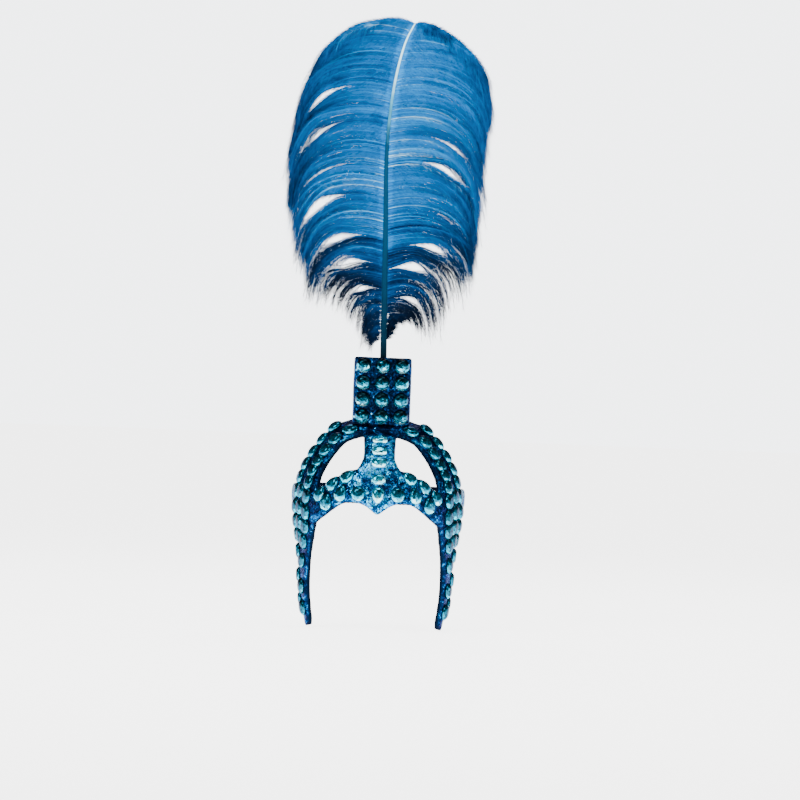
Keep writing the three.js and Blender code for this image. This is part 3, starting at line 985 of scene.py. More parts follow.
        # Painted shade at the sides and painted shadow under the box darken the foil's tone.
        painted_side_shade = rising(np.abs(points[:, 0]) / self.half_width, 0.22, 0.45)
        painted_box_shadow = rising(points[:, 2], 0.8 * self.crest_height, 8 * MM)
        store(skin.data, "foil", self.foil_middle - self.foil_painted_shade * (painted_side_shade + painted_box_shadow))
        skin.data.shade_smooth()
        dress(skin, finish.build(), list(self.nodes))
        return skin

    @staticmethod
    def pucker(point: np.ndarray) -> float:
        """How far the fabric lifts or dents at a point.

        Args:
            point: the place in metres.

        Returns:
            A height in metres.
        """
        broad = noise.noise(Vector(point / (11 * MM)))
        fine = noise.noise(Vector(point / (4.5 * MM)) + Vector((9, 4, 7)))
        return (0.45 * broad + 0.22 * fine) * MM


# Stones


class Outline(Enum):
    """How a stone is cut around."""

    ROUND = "round"
    PEAR = "pear"
    CUSHION = "cushion"

    def around(self, angles: np.ndarray) -> np.ndarray:
        """The outline at these angles, one unit in reach.

        Args:
            angles: in radians.

        Returns:
            x and y for each.
        """
        c, s = np.cos(angles), np.sin(angles)
        if self is Outline.PEAR:
            c = c * (1 - 0.28 * s - 0.2 * np.maximum(0, s) ** 2)
        if self is Outline.CUSHION:
            reach = (np.abs(c) ** 3 + np.abs(s) ** 3) ** (-1 / 3)
            c, s = c * reach, s * reach
        return np.stack([c, s], -1)


class Facet(IntEnum):
    """The kinds of facet, each by the first of its numbers."""

    GIRDLE = 0
    KITE = 20
    HALF = 30
    STAR = 50
    TABLE = 60
    MIDDLE = 70
    FOOT = 90
    COUNT = 100


@dataclass
class CutStone:
    """One moulded stone with a table, star, main and girdle facets.

    Attributes:
        outline: how it is cut around.
        width: its size across.
        length: its size along.
        height: how far it stands out.
    """

    outline: Outline
    width: float
    length: float
    height: float

    # base, girdle, main, table and well: corners, how far they are turned in corners, and their
    # share of the outline and of the height
    rows = (
        (16, 0, 0.93, 0),
        (16, 0, 1, 0.3),
        (8, 0.5, 0.83, 0.72),
        (8, 0, 0.6, 1),
        (8, 0, 0.3, 1),
    )

    def ring(self, count: int, turned: float, scale: float, height: float) -> np.ndarray:
        """One ring of corners.

        Args:
            count: how many.
            turned: how far the ring is turned, in corners.
            scale: share of the outline.
            height: share of the height.

        Returns:
            One row for each corner.
        """
        angles = (np.arange(count) + turned) * 2 * math.pi / count
        flat = self.outline.around(angles) * scale / 2 * [self.width, self.length]
        return np.column_stack([flat, np.full(count, height * self.height)])

    def facets(self) -> tuple[np.ndarray, np.ndarray, np.ndarray]:
        """The stone's mesh, lying on z = 0.

        Returns:
            Points, triangles, and the facet that each triangle belongs to.
        """
        rings = [self.ring(*row) for row in self.rows]
        base, girdle, main, table, well, hub = np.cumsum([0] + [len(ring) for ring in rings])
        foot = hub + 1
        around, half = len(rings[0]), len(rings[-1])
        rows = []
        for k in range(around):
            n = (k + 1) % around
            rows += [
                (Facet.GIRDLE + k, base + k, base + n, girdle + n),
                (Facet.GIRDLE + k, base + k, girdle + n, girdle + k),
                (Facet.FOOT, foot, base + n, base + k),
            ]
        for k in range(half):
            n, before = (k + 1) % half, (k - 1) % half
            g, next_g = 2 * k, (2 * k + 2) % around
            rows += [
                (Facet.KITE + k, girdle + g, main + k, main + before),
                (Facet.KITE + k, main + before, main + k, table + k),
                (Facet.HALF + g, girdle + g, girdle + g + 1, main + k),
                (Facet.HALF + g + 1, girdle + g + 1, girdle + next_g, main + k),
                (Facet.STAR + k, main + k, table + n, table + k),
                (Facet.TABLE + k, table + k, table + n, well + n),
                (Facet.TABLE + k, table + k, well + n, well + k),
                (Facet.MIDDLE + k, well + k, well + n, hub),
            ]
        numbers = np.array(rows, int)
        points = np.vstack([*rings, [[0, 0, self.height], [0, 0, 0]]])
        return points, numbers[:, 1:], numbers[:, 0]


class StoneSetting:
    """Stones laid on the headdress as one piece, each facet with its own painted brightness.

    Attributes:
        body: a level facet's painted brightness.
        rim: a girdle facet's, a painted rim highlight.
        foot: the underside's.
        kite_painted_light: how much brighter the sloping facets are painted.
        star_painted_light: the same for the facets round the table, which are painted darker.
    """

    body: float = 0.4
    rim: float = 0.6
    foot: float = 0.1
    kite_painted_light: float = 0.12
    star_painted_light: float = -0.1

    def __init__(self, name: str, nodes: list[str], seed: int) -> None:
        """Starts an empty setting.

        Args:
            name: the piece's name.
            nodes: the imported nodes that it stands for.
            seed: for the facets' brightness.
        """
        self.name = name
        self.nodes = nodes
        self.rng = np.random.default_rng(seed)
        self.parts: list[tuple[np.ndarray, np.ndarray]] = []
        self.light: list[np.ndarray] = []

    def add(
        self, stone: CutStone, matrix: Matrix, painted_light: float = 0.0, painted_top_shade: float = 0.3
    ) -> None:
        """Lays one stone.

        Its facets' brightness is painted light: light from above would go through a stone and
        light the foil on its lower side, so lower facets are painted brighter and upper ones
        darker.

        Args:
            stone: the stone.
            matrix: from the stone's axes to the row frame.
            painted_light: how much brighter it is painted than the others.
            painted_top_shade: how much darker its upper facets are painted than its lower ones.
        """
        points, triangles, facet = stone.facets()
        place = np.array(matrix.translation)
        placed = points @ np.array(matrix.to_3x3()).T + place
        height = (placed[triangles].mean(1) - place)[:, 2] / (max(stone.width, stone.length) / 2)
        chance = self.rng.normal(0, 0.05 + 0.2 * painted_top_shade, Facet.COUNT)[facet]
        # Painted light: higher facets darker, painted rim highlights and painted reflections.
        bright = self.body + painted_light - painted_top_shade * height + chance
        bright += self.kite_painted_light * ((facet >= Facet.KITE) & (facet < Facet.STAR))
        bright += self.star_painted_light * ((facet >= Facet.STAR) & (facet < Facet.TABLE))
        bright = np.where(facet < Facet.KITE, self.rim + 0.5 * (painted_light + chance), bright)
        self.parts.append((placed, triangles))
        self.light.append(np.where(facet == Facet.FOOT, self.foot, bright))

    def build(self, material: bpy.types.Material) -> bpy.types.Object:
        """Makes the piece and dresses it.

        Args:
            material: the stones' finish.

        Returns:
            The piece.
        """
        piece = mesh_object(self.name, *joined(self.parts))
        store(piece.data, "facet", np.clip(np.concatenate(self.light), 0, 1), "FACE")
        return dress(piece, material, self.nodes)


@dataclass
class HelmetStones:
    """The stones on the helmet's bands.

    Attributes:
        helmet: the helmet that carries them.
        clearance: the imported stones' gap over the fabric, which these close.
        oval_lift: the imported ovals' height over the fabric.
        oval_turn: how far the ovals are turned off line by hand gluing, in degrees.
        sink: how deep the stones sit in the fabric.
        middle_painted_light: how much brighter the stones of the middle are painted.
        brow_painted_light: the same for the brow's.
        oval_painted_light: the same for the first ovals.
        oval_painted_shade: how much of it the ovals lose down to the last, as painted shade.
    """

    helmet: HelmetFrame
    clearance: float = 0.75 * MM
    pear: tuple[float, float, float] = (12.6 * MM, 16.6 * MM, 3 * MM)
    round: tuple[float, float, float] = (14.4 * MM, 14.4 * MM, 3 * MM)
    cushion: tuple[float, float, float] = (14.5 * MM, 11 * MM, 3.2 * MM)
    oval: tuple[float, float, float] = (12.4 * MM, 16 * MM, 2.6 * MM)
    oval_lift: float = 1.05 * MM
    oval_turn: float = 7.0
    sink: float = 0.3 * MM
    # Painted light and shade: the same stones made brighter or darker by where they sit.
    middle_painted_light: float = 0.4
    brow_painted_light: float = 0.1
    oval_painted_light: float = 0.04
    oval_painted_shade: float = 0.24

    # place along the half band, up from its lower edge, outline and the point's lean inwards
    brow_rows = (
        (0.26, 0.25, Outline.ROUND, 0),
        (0.485, 0.3, Outline.PEAR, 37),
        (0.72, 0.31, Outline.PEAR, 45),
        (0.405, 0.78, Outline.PEAR, 62),
        (0.615, 0.77, Outline.PEAR, 66),
        (0.835, 0.74, Outline.PEAR, 62),
    )
    # share across, the first one's place, pitch and count
    side_columns = ((0.25, 0.041, 0.069, 13), (0.75, 0.08, 0.069, 12), (0.5, 0.43, 0.069, 4))
    # share up the brow band and turn of the teardrop and of the cushion above it, then the
    # cushions' shares up the strip
    peak_seat = (0.42, -90)
    cushion_seat = (0.78, 90)
    strip_places = (0.24, 0.46, 0.68)

    def laid(self, size: tuple[float, float, float], outline: Outline, lift: float) -> CutStone:
        """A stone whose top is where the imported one's is and whose foot is in the fabric.

        Args:
            size: width, length and height.
            outline: how it is cut around.
            lift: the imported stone's height over the fabric.

        Returns:
            The stone.
        """
        return CutStone(outline, size[0], size[1], size[2] + lift + self.sink)

    def seated(self, band: Band, t: float, u: float, turn: float) -> Matrix:
        """Where a stone lies on a band, sunk a little in the fabric.

        Args:
            band: the band.
            t: share along.
            u: share across.
            turn: its turn about its own axis, in degrees.

        Returns:
            From the stone's axes to the row frame.
        """
        sunk = Matrix.Translation((0, 0, -self.sink))
        return band.seat(t, u) @ sunk @ Matrix.Rotation(math.radians(turn), 4, "Z")

    def build(self, material: bpy.types.Material) -> list[bpy.types.Object]:
        """Builds the stones of the middle, the brow and the sides.

        Args:
            material: their finish.

        Returns:
            The pieces.
        """
        brow, strip = self.helmet.brow(), self.helmet.strip()
        turns = np.random.default_rng(SEED + 4)
        middle_nodes = ["peak_stone"] + [f"center_stone_{k}" for k in range(1, 5)]
        middle = StoneSetting("center_stones", middle_nodes, SEED)
        cushion = self.laid(self.cushion, Outline.CUSHION, self.clearance)
        peak = self.laid(self.pear, Outline.PEAR, self.clearance)
        middle.add(peak, self.seated(brow, 0.5, *self.peak_seat), self.middle_painted_light)
        middle.add(cushion, self.seated(brow, 0.5, *self.cushion_seat), self.middle_painted_light)
        for t in self.strip_places:
            middle.add(cushion, self.seated(strip, t, 0.5, 0), self.middle_painted_light)
        pieces = [middle.build(material)]
        for sign, label in ((-1, "left"), (1, "right")):
            nodes = [f"{label}_brow_stone_{k}" for k in range(1, 7)]
            front = StoneSetting(f"{label}_brow_stones", nodes, SEED + 1)
            for along, up, outline, lean in self.brow_rows:
                size = self.round if outline is Outline.ROUND else self.pear
                seat = self.seated(brow, 0.5 + sign * along / 2, up, 90 + sign * lean)
                front.add(self.laid(size, outline, self.clearance), seat, self.brow_painted_light)
            pieces.append(front.build(material))
            field = StoneSetting(f"{label}_side_ovals", [f"{label}_side_stones"], SEED + 2)
            side = self.helmet.side(sign)
            stone = self.laid(self.oval, Outline.ROUND, self.oval_lift)
            for across, first, pitch, count in self.side_columns:
                for t in first + np.arange(count) * pitch:
                    seat = self.seated(side, t, across, turns.normal(0, self.oval_turn))
                    field.add(stone, seat, self.oval_painted_light - self.oval_painted_shade * t)
            pieces.append(field.build(material))
        return pieces


# Box


@dataclass
class PlumeBox:
    """The fabric-covered box on the crest, with its twelve round stones and the quill's socket.

    Attributes:
        width: its size across.
        depth: its size front to back.
        height: its size up.
        foot: where its underside is.
        sunk: how far its padding is pressed into the crest's.
        set_back: how far its middle lies in front of the helmet's middle.
        edge: how round its upright edges are.
        crown: how far the padding swells on each face.
        socket: the socket's radius.
        soft: how round its upper and lower edges are.
        corners: corners round a section.
        puckering: how much of the helmet's puckers it has.
        foil_tone: how much the foil's tone differs from the helmet's.
        stone_painted_light: how much brighter its stones are painted than the helmet's.
        stone_painted_top_shade: how much darker their upper facets are painted than the lower.
    """

    width: float = 54 * MM
    depth: float = 30 * MM
    height: float = 64 * MM
    foot: float = 74.3 * MM
    sunk: float = 0.9 * MM
    set_back: float = 26 * MM
    edge: float = 4 * MM
    crown: float = 0.5 * MM
    socket: float = 3.5 * MM
    socket_depth: float = 24 * MM
    soft: float = 2.2 * MM
    corners: int = 96
    puckering: float = 0.6
    foil_tone: float = -0.12
    stone_size: float = 14.4 * MM
    stone_height: float = 5 * MM
    stone_gap: float = 0.3 * MM
    # Painted shade: the box's stones are darker, most on their upper facets.
    stone_painted_light: float = -0.1
    stone_painted_top_shade: float = 0.65
    rows: int = 4
    columns: int = 3

    # how far the underside and the top have closed on the socket, ring by ring
    closing_below = (0.95, 0.6, 0.2)
    closing_above = (0.1, 0.25, 0.45, 0.65, 0.85, 0.97, 1.0)

    def ring(self, z: float, inset: float, closing: float = 0.0) -> np.ndarray:
        """A section of the box.

        Args:
            z: its height.
            inset: how far it is drawn in.
            closing: how far it has closed on the socket, from 0 to 1.

        Returns:
            One row for each corner.
        """
        angles = np.arange(self.corners) * 2 * math.pi / self.corners
        c, s = np.cos(angles), np.sin(angles)
        half = np.array([self.width / 2, self.depth / 2]) - self.edge
        power = np.maximum(np.abs(c), np.abs(s))
        square = np.stack([c / power, s / power], 1) * half
        out = unit(np.stack([np.sign(c) * np.abs(c) ** 5, np.sign(s) * np.abs(s) ** 5], 1))
        rim = square + out * (self.edge - inset)
        height_share = (z - self.foot) / self.height
        swell = self.crown * 4 * height_share * (1 - height_share)
        middle = 1 - (square / np.maximum(half, 1e-9)) ** 2
        rim = rim + out * swell * np.max(middle, axis=1, keepdims=True)
        hole = np.stack([c, s], 1) * self.socket
        flat = rim * (1 - closing) + hole * closing
        return np.column_stack([flat[:, 0], flat[:, 1] - self.set_back, np.full(self.corners, z)])

    def build(self, finish: GlitterFoilFabric) -> bpy.types.Object:
        """Builds the padded box and dresses it.

        Args:
            finish: its fabric.

        Returns:
            The piece.
        """
        top, low = self.foot + self.height, self.foot - self.sunk
        turns = np.linspace(0, math.pi / 2, 6)
        rims = [(self.soft * (1 - math.cos(a)), self.soft * (1 - math.sin(a))) for a in turns]
        sides = np.linspace(low + self.soft, top - self.soft, 26)[1:-1]
        socket = np.linspace(top - 0.6 * MM, top - self.socket_depth, 6)
        rings = [
            *((low, self.soft, closing) for closing in self.closing_below),
            *((low + rise, inset, 0.0) for rise, inset in rims),
            *((z, 0.0, 0.0) for z in sides),
            *((top - rise, inset, 0.0) for rise, inset in rims[::-1]),
            *((top, self.soft, closing) for closing in self.closing_above),
            *((z, self.soft, 1.0) for z in socket),
        ]
        box = mesh_object("covered_box", *loft(np.array([self.ring(*ring) for ring in rings])))
        points, normals = corner_values(box.data, "co"), corner_values(box.data, "normal")
        puckers = np.array([HelmetFrame.pucker(p) for p in points]) * self.puckering
        move_corners(box.data, points + normals * puckers[:, None])
        box.data.shade_smooth()
        store(box.data, "lining_and_painted_edge_shade", np.zeros(len(points)))
        store(box.data, "foil", np.full(len(points), self.foil_tone))
        dress(box, finish.build(), ["plume_box"])
        return box

    def build_stones(self, material: bpy.types.Material) -> bpy.types.Object:
        """Lays the twelve round stones on the box's front.

        Args:
            material: their finish.

        Returns:
            The piece.
        """
        names = [
            f"box_stone_{row + 1}_{column + 1}"
            for row in range(self.rows)
            for column in range(self.columns)
        ]
        setting = StoneSetting("box_stones", names, SEED + 3)
        height = self.stone_height + 2 * self.stone_gap
        stone = CutStone(Outline.ROUND, self.stone_size, self.stone_size, height)
        front = -self.set_back - self.depth / 2 + self.stone_gap
        facing = Matrix.Rotation(math.pi / 2, 4, "X")
        for row in range(self.rows):
            for column in range(self.columns):
                x = (column - (self.columns - 1) / 2) * self.width / self.columns
                z = self.foot + self.height - (row + 0.5) * self.height / self.rows
                seat = Matrix.Translation((x, front, z)) @ facing
                setting.add(stone, seat, self.stone_painted_light, self.stone_painted_top_shade)
        return setting.build(material)


# Plume


@dataclass(frozen=True)
class BarbTip:
    """Where the barbs that leave the quill at one place end.

    Attributes:
        root: the place on the quill, as a share of its length above the box.
        x: the tip's place across, in millimetres.
        z: the tip's height, in millimetres.
        rise: how far the barb first climbs, as a share of its reach.
        shoulder: how high it still is near its tip, as a share of its reach.
    """

    root: float
    x: float
    z: float
    rise: float
    shoulder: float


@dataclass
class Plume:
    """One dyed ostrich plume: a quill, and on each side barbs with their barbules in locks.

    Attributes:
        base: where the quill leaves the box.
        height: the plume's height over the box.
        half_width: the quill's measure for its sideways swing.
        nod: the quill's measure for its swing forward.
        depth: how far tips stand apart front to back.
        quill_base: the quill's width at the box.
        quill_tip: its width at the tip.
        quill_socket: how deep it stands in the box.
        quill_groove: how deep the groove down its face is, as a share of its radius.
        barbs: how many barbs each side has.
        barbules: how many barbules each barb has.
        samples: points along a barb.
        locks: how many locks each side has, less one.
        wisps: how many wisps each lock ends in.
        widest: the tips' reach to which the locks' swings are measured, in millimetres.
        barb_halves: half a barb's width at its root and at its tip.
        barb_shifts: how far tips are scattered in x, y and z, in millimetres.
        lock_shifts: the same for whole locks.
        wisp_shifts: the same for whole wisps.
        gathered: how much of its own shift a barb gives up in its wisp.
        wavers: how far a barb's tip wavers forward and up.
        slit_reach: how far along the quill a slit pushes barbs apart, as a share.
        slit_length: half a slit's length, as a share of the barbs'.
        stray_share: the share of barbs that hang loose.
        bare_foot: the share of a barb that has no barbules at its root.
        barbule_length: a barbule's length.
        barbule_half: half its width at its root.
    """

    base: tuple[float, float, float] = (0.0, -26 * MM, 138.3 * MM)
    height: float = 320 * MM
    half_width: float = 94 * MM
    nod: float = 24 * MM
    depth: float = 50 * MM
    quill_base: float = 6.4 * MM
    quill_tip: float = 1.6 * MM
    quill_socket: float = 23.7 * MM
    quill_groove: float = 0.22
    barbs: int = 1250
    barbules: int = 130
    samples: int = 13
    locks: int = 24
    wisps: int = 6
    widest: float = 94
    barb_halves: tuple[float, float] = (0.42 * MM, 0.12 * MM)
    barb_shifts: tuple[float, float, float] = (2, 5, 6)
    lock_shifts: tuple[float, float, float] = (1.2, 0, 2.5)
    wisp_shifts: tuple[float, float, float] = (4, 6, 10)
    gathered: float = 0.7
    wavers: tuple[float, float] = (1.4 * MM, 0.9 * MM)
    slit_reach: float = 0.03
    slit_length: float = 0.18
    stray_share: float = 0.13
    bare_foot: float = 0.03
    barbule_length: float = 6.5 * MM
    barbule_half: float = 0.24 * MM

    # rise, sideways and forward
    quill_rows = (
        (0, 0, 0),
        (0.14, -0.01, -0.1),
        (0.4, -0.03, -0.1),
        (0.6, -0.045, 0.08),
        (0.74, -0.02, 0.3),
        (0.86, 0.04, 0.58),
        (0.94, 0.115, 0.82),
        (0.985, 0.19, 1),
    )
    left_tips = (
        BarbTip(0.03, -8, 146, 0, -0.3),
        BarbTip(0.1, -16, 156, 0.05, -0.2),
        BarbTip(0.15, -21, 164, 0.1, -0.1),
        BarbTip(0.19, -34, 184, 0.15, 0.05),
        BarbTip(0.235, -50, 192, 0.15, 0.05),
        BarbTip(0.28, -67, 200, 0.15, 0.03),
        BarbTip(0.35, -76, 216, 0.12, 0),
        BarbTip(0.43, -82, 234, 0.12, -0.02),
        BarbTip(0.52, -88, 256, 0.12, -0.03),
        BarbTip(0.61, -93, 278, 0.12, -0.04),
        BarbTip(0.69, -94, 298, 0.12, -0.05),
        BarbTip(0.76, -94, 322, 0.13, -0.05),
        BarbTip(0.83, -91, 346, 0.14, -0.05),
        BarbTip(0.89, -87, 370, 0.12, -0.06),
        BarbTip(0.935, -79, 392, 0.12, -0.04),
        BarbTip(0.965, -67, 415, 0.13, 0.01),
        BarbTip(0.985, -44, 440, 0.15, 0.05),
        BarbTip(1, -8, 455, 0.18, 0.08),
    )
    right_tips = (
        BarbTip(0.04, 4, 166, 0.3, 0.3),
        BarbTip(0.09, 8, 173, 0.3, 0.3),
        BarbTip(0.12, 23, 177, 0.2, 0.1),
        BarbTip(0.16, 38, 167, 0.2, 0.05),
        BarbTip(0.215, 50, 172, 0.2, 0.08),
        BarbTip(0.26, 57, 188, 0.18, 0.05),
        BarbTip(0.31, 68, 206, 0.16, 0.03),
        BarbTip(0.36, 78, 220, 0.15, 0),
        BarbTip(0.44, 79, 236, 0.14, -0.02),
        BarbTip(0.52, 82, 258, 0.13, -0.03),
        BarbTip(0.6, 85, 280, 0.13, -0.04),
        BarbTip(0.68, 85, 304, 0.13, -0.05),
        BarbTip(0.75, 86, 328, 0.13, -0.06),
        BarbTip(0.82, 90, 354, 0.12, -0.07),
        BarbTip(0.88, 92, 374, 0.1, -0.09),
        BarbTip(0.93, 89, 391, 0.08, -0.11),
        BarbTip(0.96, 80, 410, 0.06, -0.1),
        BarbTip(0.98, 62, 429, 0.05, -0.08),
        BarbTip(0.995, 38, 446, 0.04, -0.06),
        BarbTip(1, 26, 450, 0.02, -0.02),
    )
    # openings between locks: place on the quill, half their height in millimetres, and where along
    # the barbs they are widest
    left_slits = (
        (0.2, 2.5, 0.45),
        (0.27, 5, 0.45),
        (0.35, 4.5, 0.52),
        (0.47, 5.5, 0.62),
        (0.56, 1, 0.6),
        (0.69, 6, 0.66),
        (0.79, 5, 0.62),
    )
    right_slits = (
        (0.17, 2.5, 0.5),
        (0.26, 4.5, 0.35),
        (0.32, 5.5, 0.5),
        (0.43, 1.5, 0.6),
        (0.57, 4.5, 0.55),
        (0.65, 2, 0.62),
    )
    # place on the quill, and there how crowded the barbs are, how they gather, how loosely their
    # tips are scattered and how light the dye is
    crowding = ((0.05, 0), (0.07, 0.3), (0.2, 0.6), (0.4, 1), (0.7, 1.1), (0.85, 1.6), (1, 2.6))
    gathering = ((0, 0.5), (0.25, 0.65), (0.5, 0.65), (0.75, 0.55), (0.9, 0.5), (1, 0.15))
    looseness = ((0, 1.3), (0.2, 2), (0.34, 1.7), (0.42, 1), (0.94, 1), (1, 0.4))
    lightness = ((0, 0.08), (0.15, 0.12), (0.3, 0.26), (0.45, 0.4), (0.65, 0.45), (1, 0.47))

    def quill_path(self) -> SplinePath:
        """The quill's middle line.

        Returns:
            The path, from the box to the tip.
        """
        rows = np.array(self.quill_rows, float)
        x = self.base[0] + rows[:, 1] * self.half_width
        y = self.base[1] - rows[:, 2] * self.nod
        z = self.base[2] + rows[:, 0] * self.height
        return SplinePath(np.stack([x, y, z], 1))

    def quill_width(self, share: np.ndarray) -> np.ndarray:
        """The quill's width at shares of the way up."""
        return self.quill_base + (self.quill_tip - self.quill_base) * share

    def arcs(
        self, roots: np.ndarray, tips: tuple[BarbTip, ...], shift: np.ndarray, sign: int
    ) -> np.ndarray:
        """The middle lines of barbs.

        Args:
            roots: where each leaves the quill.
            tips: the table for its side.
            shift: how far each tip is moved from the table's place.
            sign: 1 for +X, -1 for -X.

        Returns:
            An array of barbs by samples by 3.
        """
        knots = [tip.root for tip in tips]
        x, z, rise, shoulder = (
            np.interp(roots, knots, [getattr(tip, key) for tip in tips])
            for key in ("x", "z", "rise", "shoulder")
        )
        start = self.quill_path().at_length(roots)
        start[:, 0] += sign * self.quill_width(roots) * 0.42
        end = np.stack([x * MM, start[:, 1], z * MM], 1) + shift
        reach = np.abs(end[:, 0] - start[:, 0])
        swing = shift[:, 1]
        # each barb runs out nearly level and only bends down close to its tip
        first = start + np.stack([sign * 0.45 * reach, 0.15 * swing, rise * reach], 1)
        second = start + np.stack([sign * 0.93 * reach, 0.8 * swing, shoulder * reach], 1)
        s = np.linspace(0, 1, self.samples)[None, :, None]
        p0, p1, p2, p3 = (p[:, None, :] for p in (start, first, second, end))
        cubic = (1 - s) ** 3 * p0 + 3 * s * (1 - s) ** 2 * p1
        return cubic + 3 * s**2 * (1 - s) * p2 + s**3 * p3

    def grouped(
        self,
        roots: np.ndarray,
        slits: tuple[tuple[float, float, float], ...],
        rng: np.random.Generator,
    ) -> tuple[np.ndarray, np.ndarray]:
        """Parts the barbs into locks, which end at every slit, and the locks into wisps.

        Args:
            roots: where each barb leaves the quill.
            slits: the side's table.
            rng: the seeded generator.

        Returns:
            Each barb's lock and its wisp.
        """
        free = rng.uniform(0, 1, self.locks - len(slits))
        bounds = np.sort(np.append(free, [slit[0] for slit in slits]))
        lock = np.searchsorted(bounds, roots)
        ends = np.concatenate([[0], bounds, [1]])
        within = (roots - ends[lock]) / np.maximum(ends[lock + 1] - ends[lock], 1e-6)
        within += rng.normal(0, 0.08, self.barbs)
        part = np.clip(within * self.wisps, 0, self.wisps - 1).astype(int)
        return lock, lock * self.wisps + part

    def shifts(
        self,
        roots: np.ndarray,
        lock: np.ndarray,
        wisp: np.ndarray,
        sign: int,
        rng: np.random.Generator,
    ) -> tuple[np.ndarray, np.ndarray]:
        """How far the barbs' tips lie from the table's places.

        Args:
            roots: where each barb leaves the quill.
            lock: each barb's lock.
            wisp: each barb's wisp.
            sign: 1 for +X, -1 for -X.
            rng: the seeded generator.

        Returns:
            Each barb's own shift, and its shift where its wisp is gathered.
        """
        tips = self.left_tips if sign < 0 else self.right_tips
        locks, wisps = self.locks + 1, (self.locks + 1) * self.wisps
        own = rng.normal(0, 1, (self.barbs, 3)) * np.array(self.barb_shifts) * MM
        lock_shift = rng.normal(0, 1, (locks, 3)) * np.array(self.lock_shifts) * MM
        swing = (rng.permutation(np.linspace(-1, 1, locks)) * self.depth / 2)[lock]
        wisp_shift = rng.normal(0, 1, (wisps, 3)) * np.array(self.wisp_shifts) * MM
        own += lock_shift[lock]
        reach = np.interp(roots, [tip.root for tip in tips], [abs(tip.x) for tip in tips])
        reach /= self.widest
        own[:, 1] += swing * reach
        own *= np.clip(reach * 1.6, 0.25, 1)[:, None]
        own *= np.interp(roots, *zip(*self.looseness))[:, None]
        stray = rng.uniform(0, 1, self.barbs) < self.stray_share
        drop, out = rng.uniform(5, 20, self.barbs), rng.uniform(-2, 6, self.barbs)
        own[:, 2] -= np.where(stray, drop, 0) * MM * np.clip(reach, 0, 1)
        own[:, 0] += np.where(stray, out, 0) * MM * sign
        gathered = own + (wisp_shift[wisp] - (own - lock_shift[lock])) * self.gathered
        gathered[:, 1] = (swing + wisp_shift[wisp, 1]) * reach
        return own, gathered

    def side_lines(
        self, sign: int, rng: np.random.Generator
    ) -> tuple[np.ndarray, np.ndarray, np.ndarray]:
        """Lays out one side's barbs in locks that end in wisps.

        Args:
            sign: 1 for +X, -1 for -X.
            rng: the seeded generator.

        Returns:
            The lines, each barb's root, and each barb's lock.
        """
        tips = self.left_tips if sign < 0 else self.right_tips
        slits = self.left_slits if sign < 0 else self.right_slits
        fine = np.linspace(0, 1, 200)
        crowd = np.interp(fine, *zip(*self.crowding))
        shares = (np.arange(self.barbs) + rng.uniform(0, 1, self.barbs)) / self.barbs
        roots = np.interp(shares, np.cumsum(crowd) / np.sum(crowd), fine)
        lock, wisp = self.grouped(roots, slits, rng)
        own, gathered = self.shifts(roots, lock, wisp, sign, rng)
        members = np.bincount(wisp)
        wisp_root = (np.bincount(wisp, roots) / np.maximum(members, 1))[wisp]
        pull = np.interp(roots, *zip(*self.gathering)) * rng.uniform(0.5, 1.2, self.locks + 1)[lock]
        s = np.linspace(0, 1, self.samples)[None, :, None]
        share = np.clip(pull, 0, 1)[:, None, None] * s**1.7
        lines = self.arcs(roots, tips, own, sign) * (1 - share)
        lines += self.arcs(wisp_root, tips, gathered, sign) * share
        s = s[..., 0]
        # a slit pushes its neighbours apart, most where it is widest
        for root, height, widest in slits:
            apart = (roots - root)[:, None]
            lift = np.sign(apart) * np.exp(-((apart / self.slit_reach) ** 2))
            along = np.exp(-(((s - widest) / self.slit_length) ** 2))
            lines[..., 2] += lift * along * height * MM
        # every barb wavers forward and up, more towards its tip
        phase = rng.uniform(0, 2 * math.pi, (2, self.barbs, 1))
        wave = np.sin(s * rng.uniform(5, 11, (self.barbs, 1)) + phase) * s
        for axis, waver in enumerate(self.wavers):
            lines[..., 1 + axis] += wave[axis] * waver
        return lines, roots, lock

    def ribbons(self, lines: np.ndarray, across: np.ndarray) -> tuple[np.ndarray, np.ndarray]:
        """The barbs themselves, as flat ribbons that taper to their tips.

        Args:
            lines: their middle lines.
            across: the way across each of them.

        Returns:
            Points and triangles.
        """
        half = across * np.linspace(*self.barb_halves, self.samples)[None, :, None]
        points = np.stack([lines - half, lines + half], 2).reshape(-1, 3)
        starts = np.arange(len(lines))[:, None] * self.samples * 2
        a = (starts + np.arange(self.samples - 1) * 2).ravel()
        faces = np.vstack([np.stack([a, a + 2, a + 1], 1), np.stack([a + 1, a + 2, a + 3], 1)])
        return points, faces

    def dye(self, roots: np.ndarray, lock: np.ndarray, rng: np.random.Generator) -> np.ndarray:
        """How light the dye is along each barb: pale ones are commonest half way up the quill.

        Args:
            roots: where each barb leaves the quill.
            lock: each barb's lock.
            rng: the seeded generator.

        Returns:
            An array of barbs by samples.
        """
        tone = np.interp(roots, *zip(*self.lightness)) + rng.normal(0, 0.1, self.barbs)
        tone += rng.normal(0, 0.07, self.locks + 1)[lock]
        pale_share = 0.14 * np.clip(1.3 - np.abs(roots - 0.5) * 4.5, 0, 1)
        tone += np.where(rng.uniform(0, 1, self.barbs) < pale_share, 0.22, 0)
        return tone[:, None] + 0.06 - 0.3 * np.linspace(0, 1, self.samples) ** 2.4

